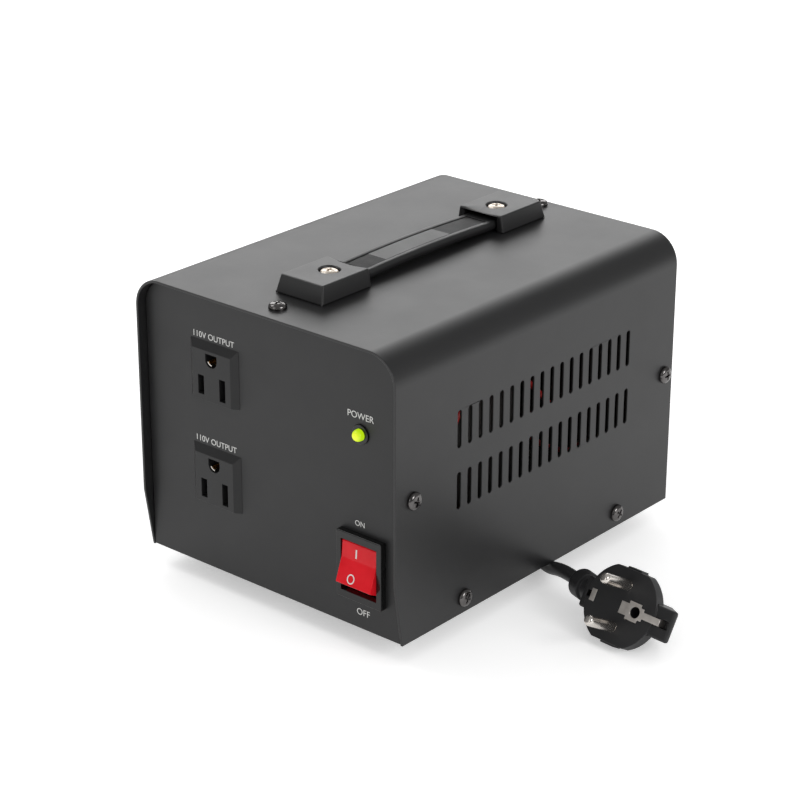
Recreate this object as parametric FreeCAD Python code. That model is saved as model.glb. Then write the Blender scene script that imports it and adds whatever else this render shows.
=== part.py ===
import FreeCAD, Part
import math
import os
from FreeCAD import Vector as V

# Step-down voltage converter. Millimetres. X is the width, the front panel faces -Y, +Z is up.
# The origin is the middle of the case footprint, on the surface that the feet stand on.

# Case
foot_h = 10.0
cover_w = 149.0
cover_h = 131.3
cover_corner_r = 14.0
sheet_t = 1.2
chassis_d = 191.4
front_overhang = 4.6
front_bevel_h = 29.0
cover_gap = 0.3
chassis_lift = 0.6
flange_w = 14.0

# Vent slots in both side walls
slot_rows = 2
slots_per_row = 18
slot_pitch = 7.0
slot_w = 2.6
slot_h = 17.0
slot_low_z = 69.3
slot_row_step = 28.2

# Screws, all M4 with pan heads
screw_r = 2.0
head_r = 4.0
head_h = 2.4
hole_gap = 0.1
cross_w = 0.9
cross_l = 4.6
cross_depth = 1.3
panel_screw_in = 6.5
side_screw_z = 75.4
low_screw_z = 17.4
low_screw_y = 55.2
screw_len = 8.0
nut_af = 7.0
nut_h = 3.2

# Rivets between the panels and the base pan
rivet_x = 45.0
rivet_in = 7.0
rivet_r = 1.6
rivet_head_r = 3.2
rivet_head_h = 1.0
rivet_tail_r = 2.4
rivet_tail_h = 1.6

# Feet
foot_r = 9.0
foot_taper = 1.0
foot_in_x = 25.5
foot_in_y = 28.7
foot_recess_r = 5.0
foot_recess_h = 5.6

# Handle: two end caps and a strap that slides in them
cap_w = 27.0
cap_len = 31.5
cap_h = 8.2
cap_slope_x = 1.5
cap_slope_y = 2.1
cap_mouth_y = 45.0
cap_edge_r = 0.8
cap_screw_in = 12.0
cap_recess = 0.2
cap_bore_r = 4.7
cap_boss_wall = 1.2
cap_roof = 1.6
cap_pocket_len = 28.0
cap_dip = 0.8
cap_dip_len = 9.0
cap_dip_r = 70.0
strap_w = 17.5
strap_t = 4.2
strap_low = 1.0
strap_bow = 0.2
strap_edge_r = 1.9
strap_gap = 0.3
strap_hinge_out = 4.0
strap_arm_len = 28.0
strap_slide = 5.0
strap_spare = 1.0
strap_slot_gap = 0.4
strap_tail = 2.4
strap_panel_w = 11.5
strap_panel_depth = 0.5
strap_panel_in = 4.0

# Outlet sockets, three-hole, earth hole up
socket_in = 43.0
socket_low_z = 56.15
socket_step = 49.2
socket_outer_w = 28.8
socket_outer_h = 27.0
socket_bevel_x = 3.0
socket_bevel_top = 3.3
socket_bevel_low = 0.4
socket_proud = 2.5
socket_body = 25.6
socket_depth = 17.0
socket_slot_w = 3.4
socket_slot_short = 8.8
socket_slot_long = 10.2
socket_slot_dx = 6.35
socket_slot_dz = -6.25
socket_earth_dz = 5.8
socket_earth_w = 6.7
socket_earth_h = 5.9
socket_hole_depth = 6.5
socket_clip_w = 5.2
socket_clip_len = 9.0
snap_out = 1.6
snap_len = 7.0
snap_w = 8.0
leaf_t = 0.6
blade_w = 6.3
blade_t = 0.8
blade_len = 7.0
cutout_gap = 0.3

# Power lamp
lamp_in = 22.7
lamp_z = 100.8
lamp_r = 2.6
lamp_ring_r = 4.4
lamp_ring_t = 0.9
lamp_barrel_r = 3.9
lamp_depth = 13.0
lamp_edge = 0.9
lamp_dome = 2.5
lamp_nut_af = 10.0
lamp_nut_h = 2.4
lamp_leg_r = 0.35
lamp_leg_dx = 1.27
lamp_leg_len = 9.0
fit_gap = 0.05

# Rocker switch, shown on
switch_in = 21.6
switch_z = 40.0
bezel_w = 25.0
bezel_h = 31.0
bezel_t = 3.3
housing_w = 22.0
housing_h = 29.6
housing_depth = 17.5
housing_wall = 0.9
rocker_w = 19.3
rocker_swing = 14.0
rocker_pivot_in = 4.0
rocker_tip_out = 9.0
rocker_tip_up = 9.3
rocker_fold_out = 7.8
rocker_fold_up = 2.0
rocker_back = 2.0
rocker_gap = 0.4
rocker_end_gap = 0.75
trunnion_r = 1.5
trunnion_len = 1.2
switch_blade_dx = 5.2
switch_blade_dz = 8.0
neon_r = 1.6
neon_len = 10.0

# Transformer with an E and I core
core_w = 105.0
core_stack = 50.0
core_in = 75.7
core_lift = 2.0
bobbin_wall = 1.4
bobbin_gap = 0.2
winding_inset = 2.3
primary_share = 0.55
tape_t = 0.5
bracket_t = 1.8
bracket_up = 16.0
bracket_foot = 13.0
bracket_end = 1.5
core_bolt_r = 2.5
core_bolt_head_r = 4.5
core_bolt_head_h = 3.5
core_nut_af = 8.0
core_nut_h = 4.0
bracket_screw_in = 12.5

# Reset breaker in the rear panel
breaker_in = 28.5
breaker_z = 50.0
breaker_neck_r = 5.5
breaker_neck_out = 4.6
breaker_nut_af = 14.0
breaker_nut_h = 2.6
breaker_button_r = 3.4
breaker_button_in = 6.0
breaker_travel = 2.2
breaker_w = 14.0
breaker_h = 34.0
breaker_depth = 22.0
breaker_blade_dz = 10.0

# Earth stud on the base pan
earth_x = -30.0
earth_in = 35.7
tag_r = 4.6
tag_t = 0.8
tag_len = 14.0
tag_barrel = 6.0

# Inner wires
wire_r = 1.3
lamp_wire_r = 0.8
lead_in = 8.0
relief_wire_dx = 2.6
relief_wire_up = 1.5
relief_wire_down = 2.5

# Cord, its strain relief, coil and tie
cord_d = 6.2
coil_lead_in = 20.0
plug_lead_in = 13.0
relief_x = 0.0
relief_z = 34.0
relief_flange_r = 9.0
relief_flange_t = 3.0
relief_neck_r = 6.4
relief_in = 7.0
relief_in_r = 8.0
relief_out = 31.0
relief_root_r = 6.0
relief_tip_r = 4.3
relief_rib_step = 4.6
relief_rib_w = 1.4
relief_rib_depth = 0.7
coil_x = -75.0
coil_y = 162.0
coil_outer_r = 45.0
coil_turn_step = 6.85
coil_layer_step = 6.8
coil_start_deg = 90.0
coil_end_deg = 250.0
coil_whole_turns = 5
tie_t = 0.5
tie_w = 10.0
tie_gap = 0.2
tie_deg = 160.0

# Plug with two round pins and side earth clips, lying on the floor
plug_x = 130.6
plug_y = -19.3
plug_yaw = -4.4
plug_tilt = 30.3
plug_r = 18.4
plug_rim = 6.5
plug_flat = 16.4
plug_tab_out = 17.3
plug_tab_w = 7.5
plug_tab_in = 1.0
plug_neck_w = 14.0
plug_back = 20.5
plug_grip = 27.2
plug_grip_in = 0.8
plug_grip_end = 3.0
plug_grip_root = 12.7
plug_cable_side = 22.0
plug_cable_bevel = 5.0
plug_cable_bevel_in = 3.0
plug_cable_face = 2.0
plug_edge_r = 1.2
plug_cable_in = 9.0
plug_cable_up = 0.5
pin_r = 2.4
pin_len = 19.0
pin_half_step = 9.5
pin_root = 5.0
pin_root_r = 2.0
earth_hole_r = 2.5
earth_hole_v = 8.3
earth_hole_depth = 9.0
clip_out = 16.2
clip_face_len = 2.6
clip_w = 5.4
clip_t = 0.8
clip_side_len = 9.0
clip_notch_w = 3.0
tongue_start = 0.2
tongue_w = 5.5
plate_start = 4.2
plate_w = 8.2
plate_neck_start = 10.6
plate_neck_w = 5.4
strip_start = 12.5
strip_w = 3.0
strip_t = 1.1
strip_end = 21.7
strip_slot_len = 3.8
strip_slot_w = 3.8
strip_slot_depth = 4.5
sleeve_yaw = -24.0
sleeve_pitch = 4.0
sleeve_len = 15.0
sleeve_ring_in = 6.5
sleeve_in = 1.5
sleeve_root_in = 1.0
sleeve_root_r = 6.0
sleeve_tip_r = 4.6
sleeve_ball_r = 6.6

# Cord route points where it is not coiled, chosen by hand
lead_points = [
    (0.0, 145.0, 34.0),
    (-4.0, 163.0, 30.5),
    (-13.5, 181.0, 24.0),
    (-28.0, 197.5, 16.5),
]
tail_points = [
    (-64.5, 110.3, 3.5),
    (-43.0, 100.0, 3.15),
    (-21.0, 85.5, 3.15),
    (1.0, 68.5, 3.15),
    (19.0, 51.5, 3.15),
    (34.5, 36.5, 3.15),
    (50.0, 23.5, 3.15),
    (68.5, 12.0, 3.7),
]

# Levels and planes that follow from the sizes above
cover_bottom_z = foot_h
cover_top_z = foot_h + cover_h
cover_in_x = cover_w / 2 - sheet_t
cover_in_top = cover_top_z - sheet_t
front_y = -chassis_d / 2
rear_y = chassis_d / 2
cover_front_y = front_y - front_overhang
chassis_x = cover_in_x - cover_gap
chassis_bottom_z = cover_bottom_z + chassis_lift
chassis_top_z = cover_in_top - cover_gap
floor_z = chassis_bottom_z + sheet_t
blade_end_y = front_y + socket_depth + blade_len
panel_screw_y = chassis_d / 2 - panel_screw_in
hole_r = screw_r + hole_gap

# A standard lamination has a middle leg of a third of its width, and yokes and windows of a sixth
core_yoke = core_w / 6
core_leg = 2 * core_yoke
core_h = 5 * core_yoke
core_bolt_in = core_yoke / 2
core_y = front_y + core_in
core_bottom_z = floor_z + core_lift
core_top_z = core_bottom_z + core_h
core_front_y = core_y - core_stack / 2
core_rear_y = core_y + core_stack / 2
bracket_screw_x = core_w / 2 - bracket_screw_in
earth_y = rear_y - earth_in
foot_x = cover_w / 2 - foot_in_x
foot_y = chassis_d / 2 - foot_in_y
socket_x = socket_in - cover_w / 2
lamp_x = cover_w / 2 - lamp_in
switch_x = cover_w / 2 - switch_in
breaker_x = cover_w / 2 - breaker_in
switch_pivot_y = front_y + rocker_pivot_in
window_low_z = core_bottom_z + core_yoke
window_high_z = core_top_z - core_yoke
window_w = (core_w - core_leg) / 2 - core_yoke
x_axis = V(1, 0, 0)
y_axis = V(0, 1, 0)
z_axis = V(0, 0, 1)


def box(x0, x1, y0, y1, z0, z1):
    return Part.makeBox(x1 - x0, y1 - y0, z1 - z0, V(x0, y0, z0))


def block(cx, cy, cz, sx, sy, sz):
    return Part.makeBox(sx, sy, sz, V(cx - sx / 2, cy - sy / 2, cz - sz / 2))


def rod(x, y, z, r, length, axis):
    return Part.makeCylinder(r, length, V(x, y, z), axis)


def fuse_all(shapes):
    joined = shapes[0]
    if len(shapes) > 1:
        joined = joined.multiFuse(shapes[1:])
    return joined.removeSplitter()


def cut_all(shape, tools):
    return shape.cut(Part.makeCompound(tools))


def prism_y(points, y0, y1):
    """Solid between y0 and y1 whose outline in X and Z is the list of points."""
    corners = [V(px, y0, pz) for px, pz in points]
    face = Part.Face(Part.makePolygon(corners + corners[:1]))
    return face.extrude(V(0, y1 - y0, 0))


def prism_x(points, x0, x1):
    """Solid between x0 and x1 whose outline in Y and Z is the list of points."""
    corners = [V(x0, py, pz) for py, pz in points]
    face = Part.Face(Part.makePolygon(corners + corners[:1]))
    return face.extrude(V(x1 - x0, 0, 0))


def turned(profile, base, axis):
    """Solid of revolution about an axis line from (radius, distance along it) points."""
    side = x_axis if abs(axis.x) < 0.9 else z_axis
    side = (side - axis * side.dot(axis)).normalize()
    corners = [base + side * r + axis * d for r, d in profile]
    face = Part.Face(Part.makePolygon(corners + corners[:1]))
    return face.revolve(base, axis, 360)


def hex_prism(x, y, z, across_flats, length, axis):
    radius = across_flats / math.sqrt(3)
    side = x_axis if abs(axis.x) < 0.9 else z_axis
    other = axis.cross(side)
    base = V(x, y, z)
    corners = []
    for k in range(6):
        a = math.radians(60 * k)
        corners.append(base + side * (radius * math.cos(a)) + other * (radius * math.sin(a)))
    face = Part.Face(Part.makePolygon(corners + corners[:1]))
    return face.extrude(axis * length)


def nut(x, y, z, across_flats, length, bore_r, axis):
    body = hex_prism(x, y, z, across_flats, length, axis)
    return body.cut(rod(x, y, z, bore_r, length, axis))


def pan_screw(x, y, z, axis, length):
    """Pan-head screw with a cross recess. Its head seats at the point and axis points out of the head."""
    corner = head_h * 0.45
    profile = [(0, -length), (screw_r, -length), (screw_r, 0), (head_r, 0), (head_r, head_h - corner)]
    profile += [(head_r - corner * 0.35, head_h - corner * 0.3), (head_r - corner * 1.2, head_h), (0, head_h)]
    base = V(x, y, z)
    screw = turned(profile, base, axis)
    side = x_axis if abs(axis.x) < 0.9 else z_axis
    other = axis.cross(side)
    tools = []
    for along, across in ((side, other), (other, side)):
        start = base + axis * (head_h - cross_depth) - along * (cross_l / 2) - across * (cross_w / 2)
        face = Part.Face(Part.makePolygon([start, start + along * cross_l,
                                           start + along * cross_l + across * cross_w,
                                           start + across * cross_w, start]))
        tools.append(face.extrude(axis * (cross_depth * 2)))
    return cut_all(screw, tools)


def rounded_top_panel(half_w, z0, z1, radius, y0, y1):
    """Flat panel with its two upper corners rounded."""
    a = math.sqrt(0.5)
    left = V(-half_w, y0, z0)
    right = V(half_w, y0, z0)
    right_low = V(half_w, y0, z1 - radius)
    right_mid = V(half_w - radius + radius * a, y0, z1 - radius + radius * a)
    right_high = V(half_w - radius, y0, z1)
    left_high = V(-half_w + radius, y0, z1)
    left_mid = V(-half_w + radius - radius * a, y0, z1 - radius + radius * a)
    left_low = V(-half_w, y0, z1 - radius)
    edges = [
        Part.makeLine(left, right),
        Part.makeLine(right, right_low),
        Part.Arc(right_low, right_mid, right_high).toShape(),
        Part.makeLine(right_high, left_high),
        Part.Arc(left_high, left_mid, left_low).toShape(),
        Part.makeLine(left_low, left),
    ]
    return Part.Face(Part.Wire(edges)).extrude(V(0, y1 - y0, 0))


def screw_places():
    """Centre, outward axis of every case screw: side walls, then the top."""
    sides = []
    for s in (-1, 1):
        for y in (-panel_screw_y, panel_screw_y):
            sides.append((s * cover_w / 2, y, side_screw_z, V(s, 0, 0)))
        for y in (-low_screw_y, low_screw_y):
            sides.append((s * cover_w / 2, y, low_screw_z, V(s, 0, 0)))
    top = [(0, y, cover_top_z, z_axis) for y in (-panel_screw_y, panel_screw_y)]
    return sides, top


def case_screw_holes():
    """Cylinders through the cover and the flanges behind it at every case screw."""
    sides, top = screw_places()
    tools = []
    for x, y, z, axis in sides + top:
        start = V(x, y, z) + axis
        tools.append(Part.makeCylinder(hole_r, screw_len, start, axis * -1))
    return tools


def handle_screw_y():
    return cap_mouth_y + cap_screw_in


def vent_slots():
    tools = []
    first = -(slots_per_row - 1) * slot_pitch / 2
    straight = slot_h - slot_w
    for row in range(slot_rows):
        z = slot_low_z + row * slot_row_step
        for k in range(slots_per_row):
            y = first + k * slot_pitch
            middle = block(0, y, z, cover_w + 2, slot_w, straight)
            low = rod(-cover_w / 2 - 1, y, z - straight / 2, slot_w / 2, cover_w + 2, x_axis)
            high = rod(-cover_w / 2 - 1, y, z + straight / 2, slot_w / 2, cover_w + 2, x_axis)
            tools.append(middle.fuse([low, high]))
    return tools


def make_cover():
    """Bent sheet over the top and both sides, bevelled at the front foot of each side."""
    half = cover_w / 2
    outer = rounded_top_panel(half, cover_bottom_z, cover_top_z, cover_corner_r, cover_front_y, rear_y)
    inner_r = cover_corner_r - sheet_t
    inner = rounded_top_panel(cover_in_x, cover_bottom_z - 1, cover_in_top, inner_r,
                              cover_front_y - 1, rear_y + 1)
    shell = outer.cut(inner)
    bevel_z = cover_bottom_z + front_bevel_h
    bevel = [(cover_front_y - 1, cover_bottom_z - 1), (front_y, cover_bottom_z - 1),
             (front_y, cover_bottom_z), (cover_front_y, bevel_z), (cover_front_y - 1, bevel_z)]
    tools = [prism_x(bevel, -half - 1, half + 1)]
    tools += vent_slots()
    tools += case_screw_holes()
    for y in (-handle_screw_y(), handle_screw_y()):
        tools.append(rod(0, y, cover_in_top - 1, hole_r, sheet_t + 2, z_axis))
    return cut_all(shell, tools)


def make_base_pan():
    """Floor of the case with an upright flange each side for the low cover screws."""
    reach = low_screw_y + flange_w
    plates = [box(-chassis_x, chassis_x, front_y + sheet_t, rear_y - sheet_t, chassis_bottom_z, floor_z)]
    for t in (-1, 1):
        x0 = min(t * chassis_x, t * (chassis_x - sheet_t))
        plates.append(box(x0, x0 + sheet_t, -reach, reach, chassis_bottom_z, floor_z + flange_w))
    tools = case_screw_holes() + rivet_holes(chassis_bottom_z)
    for x, y in foot_places() + bracket_screw_places() + [(earth_x, earth_y)]:
        tools.append(rod(x, y, chassis_bottom_z - 1, hole_r, sheet_t + 2, z_axis))
    return cut_all(fuse_all(plates), tools)


def make_end_panel(s, cutouts):
    """Front or rear panel: top and side flanges for the cover screws, a bottom flange riveted to the pan."""
    radius = cover_corner_r - sheet_t - cover_gap
    outer_y = s * rear_y
    inner_y = s * (rear_y - sheet_t)
    y0 = min(outer_y, outer_y - s * flange_w)
    y1 = max(outer_y, outer_y - s * flange_w)
    flat_x = chassis_x - radius
    plates = [
        rounded_top_panel(chassis_x, chassis_bottom_z, chassis_top_z, radius,
                          min(outer_y, inner_y), max(outer_y, inner_y)),
        box(-flat_x, flat_x, y0, y1, chassis_top_z - sheet_t, chassis_top_z),
        box(-chassis_x + sheet_t, chassis_x - sheet_t, y0, y1, floor_z, floor_z + sheet_t),
    ]
    for t in (-1, 1):
        x0 = min(t * chassis_x, t * (chassis_x - sheet_t))
        plates.append(box(x0, x0 + sheet_t, y0, y1, low_screw_z + flange_w, chassis_top_z - radius))
    return cut_all(fuse_all(plates), case_screw_holes() + rivet_holes(floor_z) + cutouts)


def front_cutouts():
    cut_w = socket_body + 2 * cutout_gap
    tools = [block(socket_x, front_y, z, cut_w, 4 * sheet_t, cut_w) for z in socket_heights()]
    tools.append(rod(lamp_x, front_y - 1, lamp_z, lamp_barrel_r + fit_gap, sheet_t + 2, y_axis))
    tools.append(block(switch_x, front_y, switch_z, housing_w + 2 * cutout_gap, 4 * sheet_t,
                       housing_h + 2 * cutout_gap))
    return tools


def rear_cutouts():
    low_y = rear_y - sheet_t - 1
    return [rod(breaker_x, low_y, breaker_z, breaker_neck_r + fit_gap, sheet_t + 2, y_axis),
            rod(relief_x, low_y, relief_z, relief_neck_r + fit_gap, sheet_t + 2, y_axis)]


def rivet_places():
    y = chassis_d / 2 - rivet_in
    return [(sx * rivet_x, sy * y) for sx in (-1, 0, 1) for sy in (-1, 1)]


def rivet_holes(z):
    return [rod(x, y, z - 1, rivet_r + fit_gap, sheet_t + 2, z_axis) for x, y in rivet_places()]


def make_rivets():
    """Rivets up through the pan and the bottom flange of a panel, with a flat head below."""
    tail_z = 2 * sheet_t
    profile = [(0, -rivet_head_h), (rivet_head_r - rivet_head_h / 2, -rivet_head_h),
               (rivet_head_r, -rivet_head_h / 2), (rivet_head_r, 0), (rivet_r, 0), (rivet_r, tail_z),
               (rivet_tail_r, tail_z), (rivet_tail_r, tail_z + rivet_tail_h), (0, tail_z + rivet_tail_h)]
    return Part.makeCompound([turned(profile, V(x, y, chassis_bottom_z), z_axis) for x, y in rivet_places()])


def make_case_screws():
    sides, top = screw_places()
    side_set = [pan_screw(x, y, z, axis, screw_len) for x, y, z, axis in sides]
    top_set = [pan_screw(x, y, z, axis, screw_len) for x, y, z, axis in top]
    return Part.makeCompound(side_set), Part.makeCompound(top_set)


def foot_places():
    return [(sx * foot_x, sy * foot_y) for sx in (-1, 1) for sy in (-1, 1)]


def make_feet():
    feet = []
    screws = []
    nuts = []
    seat = foot_recess_h
    shank = chassis_bottom_z - seat + sheet_t + nut_h + 1.0
    for x, y in foot_places():
        profile = [(0, 0), (foot_r - foot_taper, 0), (foot_r, chassis_bottom_z), (0, chassis_bottom_z)]
        foot = turned(profile, V(x, y, 0), z_axis)
        feet.append(cut_all(foot, [rod(x, y, 0, foot_recess_r, seat, z_axis),
                                   rod(x, y, 0, hole_r, chassis_bottom_z, z_axis)]))
        screws.append(pan_screw(x, y, seat, z_axis * -1, shank))
        nuts.append(nut(x, y, floor_z, nut_af, nut_h, screw_r + fit_gap, z_axis))
    return Part.makeCompound(feet), Part.makeCompound(screws), Part.makeCompound(nuts)


def cap_boss_r():
    return cap_bore_r + cap_boss_wall


def make_handle_cap(s):
    """End cap with three sloped sides, an open mouth for the strap and a boss under its screw."""
    top_z = cover_top_z
    high_z = top_z + cap_h
    mouth = s * cap_mouth_y
    outer = s * (cap_mouth_y + cap_len)
    low_x = cap_w / 2
    high_x = low_x - cap_slope_x
    high_outer = outer - s * cap_slope_y
    low = [V(-low_x, mouth, top_z), V(low_x, mouth, top_z), V(low_x, outer, top_z), V(-low_x, outer, top_z)]
    high = [V(-high_x, mouth, high_z), V(high_x, mouth, high_z), V(high_x, high_outer, high_z),
            V(-high_x, high_outer, high_z)]
    wedge = Part.makeLoft([Part.makePolygon(low + low[:1]), Part.makePolygon(high + high[:1])], True, True)
    edges = []
    for edge in wedge.Edges:
        middle = edge.CenterOfMass
        if middle.z > top_z + 1 and abs(middle.y - mouth) > 1:
            edges.append(edge)
    wedge = wedge.makeFillet(cap_edge_r, edges)
    pocket_half = strap_w / 2 + 2 * strap_gap
    pocket_end = s * (cap_mouth_y + cap_pocket_len)
    pocket = box(-pocket_half, pocket_half, min(mouth - s, pocket_end), max(mouth - s, pocket_end),
                 top_z - 1, high_z - cap_roof)
    screw_y = s * handle_screw_y()
    boss = rod(0, screw_y, top_z, cap_boss_r(), cap_h - cap_roof, z_axis)
    seat_z = high_z - cap_recess - head_h
    return cut_all(wedge.cut(pocket).fuse(boss),
                   [rod(0, screw_y, seat_z, cap_bore_r, cap_h, z_axis),
                    rod(0, screw_y, top_z - 1, hole_r, cap_h, z_axis), cap_dip_tool(s)])


def cap_dip_tool(s):
    """Wide shallow hollow in the roof of a cap, deepest at the middle of its mouth."""
    way = V(0, s * cap_dip_len, cap_dip).normalize()
    square = V(0, -s * cap_dip, cap_dip_len).normalize()
    lowest = V(0, s * cap_mouth_y, cover_top_z + cap_h - cap_dip)
    return Part.makeCylinder(cap_dip_r, cap_len, lowest - way * (cap_len / 2) + square * cap_dip_r, way)


def make_handle_fixings():
    seat_z = cover_top_z + cap_h - cap_recess - head_h
    length = seat_z - cover_in_top + nut_h + 1.5
    screws = []
    nuts = []
    for s in (-1, 1):
        y = s * handle_screw_y()
        screws.append(pan_screw(0, y, seat_z, z_axis, length))
        nuts.append(nut(0, y, cover_in_top - nut_h, nut_af, nut_h, screw_r + fit_gap, z_axis))
    return Part.makeCompound(screws), Part.makeCompound(nuts)


def strap_mid_z():
    return cover_top_z + strap_low + strap_t / 2


def strap_hinge_y():
    """Distances from the middle of the handle to the outer and the inner hinge line of the strap."""
    outer = cap_mouth_y - strap_hinge_out
    return outer, outer - strap_arm_len


def strap_bar(y0, y1, z):
    """Straight piece of strap with rounded long edges."""
    bar = box(-strap_w / 2, strap_w / 2, y0, y1, z - strap_t / 2, z + strap_t / 2)
    long_edges = [e for e in bar.Edges if abs(e.Vertexes[0].Y - e.Vertexes[1].Y) > 1]
    return bar.makeFillet(strap_edge_r, long_edges)


def strap_knuckle(y, z, radius):
    return rod(-strap_w / 2 - 1, y, z, radius, strap_w + 2, x_axis)


def make_strap_end(s):
    """Tongue inside the cap, slotted round the boss, hollowed at its hinge."""
    hinge, _ = strap_hinge_y()
    z = strap_mid_z()
    screw_y = handle_screw_y()
    reach = cap_boss_r() + strap_slot_gap
    slot_in = screw_y - reach - strap_spare
    slot_out = screw_y + reach + strap_slide
    tongue_end = slot_out + strap_tail
    bar = strap_bar(hinge, tongue_end, z)
    near = rod(0, slot_in + reach, z - strap_t, reach, 2 * strap_t, z_axis)
    far = rod(0, slot_out - reach, z - strap_t, reach, 2 * strap_t, z_axis)
    middle = box(-reach, reach, slot_in + reach, slot_out - reach, z - strap_t, z + strap_t)
    bar = cut_all(bar, [near, far, middle, strap_knuckle(hinge, z, strap_t / 2 + strap_gap)])
    if s < 0:
        bar = bar.rotate(V(0, 0, 0), z_axis, 180)
    return bar


def strap_rise_deg():
    return math.degrees(math.asin(strap_bow / strap_arm_len))


def strap_panel(y0, y1, z):
    """Shallow panel sunk in the upper face of a piece of strap."""
    top = z + strap_t / 2
    return box(-strap_panel_w / 2, strap_panel_w / 2, y0 + strap_panel_in, y1 - strap_panel_in,
               top - strap_panel_depth, top + 1)


def make_strap_arm(s):
    """Piece between two hinges with a round knuckle at each end, rising to the middle."""
    outer, _ = strap_hinge_y()
    z = strap_mid_z()
    inner = outer - strap_arm_len
    bar = strap_bar(inner - strap_t, outer + strap_t, z)
    window = box(-strap_w, strap_w, inner, outer, z - strap_t, z + strap_t)
    rounds = [strap_knuckle(inner, z, strap_t / 2), strap_knuckle(outer, z, strap_t / 2)]
    bar = bar.common(fuse_all([window] + rounds))
    bar = bar.cut(strap_panel(inner, outer, z))
    bar = bar.rotate(V(0, outer, z), x_axis, -strap_rise_deg())
    if s < 0:
        bar = bar.rotate(V(0, 0, 0), z_axis, 180)
    return bar


def strap_inner_place():
    """Distance from the middle and height of the inner hinge lines at rest."""
    outer, _ = strap_hinge_y()
    a = math.radians(strap_rise_deg())
    return outer - strap_arm_len * math.cos(a), strap_mid_z() + strap_arm_len * math.sin(a)


def make_strap_middle():
    y, z = strap_inner_place()
    bar = strap_bar(-y, y, z)
    bar = bar.cut(strap_panel(-y, y, z))
    hollow = strap_t / 2 + strap_gap
    return cut_all(bar, [strap_knuckle(-y, z, hollow), strap_knuckle(y, z, hollow)])


def socket_heights():
    return [socket_low_z, socket_low_z + socket_step]


def socket_holes(z):
    """Short slot, long slot and earth hole: centre X, centre Z, width and height."""
    slot_z = z + socket_slot_dz
    return [
        (socket_x - socket_slot_dx, slot_z, socket_slot_w, socket_slot_short),
        (socket_x + socket_slot_dx, slot_z, socket_slot_w, socket_slot_long),
    ]


def make_socket(z):
    """Snap-in outlet with a bevelled frame, a moulded body and pockets for its contacts."""
    half_w = socket_outer_w / 2
    half_h = socket_outer_h / 2
    face_w = half_w - socket_bevel_x
    face_low = z - half_h + socket_bevel_low
    face_high = z + half_h - socket_bevel_top
    face_y = front_y - socket_proud
    base = [V(socket_x - half_w, front_y, z - half_h), V(socket_x + half_w, front_y, z - half_h),
            V(socket_x + half_w, front_y, z + half_h), V(socket_x - half_w, front_y, z + half_h)]
    face = [V(socket_x - face_w, face_y, face_low), V(socket_x + face_w, face_y, face_low),
            V(socket_x + face_w, face_y, face_high), V(socket_x - face_w, face_y, face_high)]
    frame = Part.makeLoft([Part.makePolygon(base + base[:1]), Part.makePolygon(face + face[:1])], True, True)
    body = box(socket_x - socket_body / 2, socket_x + socket_body / 2, front_y, front_y + socket_depth,
               z - socket_body / 2, z + socket_body / 2)
    snap_y = front_y + sheet_t + cutout_gap
    wings = []
    for t in (-1, 1):
        x_in = socket_x + t * socket_body / 2
        low = z - snap_w / 2
        corners = [V(x_in, snap_y, low), V(x_in + t * snap_out, snap_y, low), V(x_in, snap_y + snap_len, low)]
        wings.append(Part.Face(Part.makePolygon(corners + corners[:1])).extrude(V(0, 0, snap_w)))
    socket = fuse_all([frame, body] + wings)
    back_y = front_y + socket_depth
    pocket_y0 = face_y + socket_hole_depth
    pocket_y1 = pocket_y0 + socket_clip_len + 0.6
    tools = []
    for x, hole_z, w, h in socket_holes(z):
        tools.append(block(x, face_y + socket_hole_depth / 2, hole_z, w, socket_hole_depth + 0.02, h))
        tools.append(box(x - socket_clip_w / 2, x + socket_clip_w / 2, pocket_y0, pocket_y1,
                         hole_z - h / 2, hole_z + h / 2))
        tools.append(box(x - blade_t / 2, x + blade_t / 2, pocket_y1 - 1, back_y + 1,
                         hole_z - blade_w / 2, hole_z + blade_w / 2))
    earth_z = z + socket_earth_dz
    r = socket_earth_w / 2
    round_z = earth_z - socket_earth_h / 2 + r
    lower = rod(socket_x, face_y - 1, round_z, r, socket_depth, y_axis)
    tools.append(lower.common(box(socket_x - r, socket_x + r, face_y - 1, pocket_y0, round_z - r, round_z)))
    tools.append(box(socket_x - r, socket_x + r, face_y - 1, pocket_y0, round_z,
                     earth_z + socket_earth_h / 2))
    tools.append(rod(socket_x, pocket_y0, round_z, r, pocket_y1 - pocket_y0, y_axis))
    tools.append(box(socket_x - blade_w / 2, socket_x + blade_w / 2, pocket_y1 - 1, back_y + 1,
                     earth_z - blade_t / 2, earth_z + blade_t / 2))
    return cut_all(socket, tools)


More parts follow.
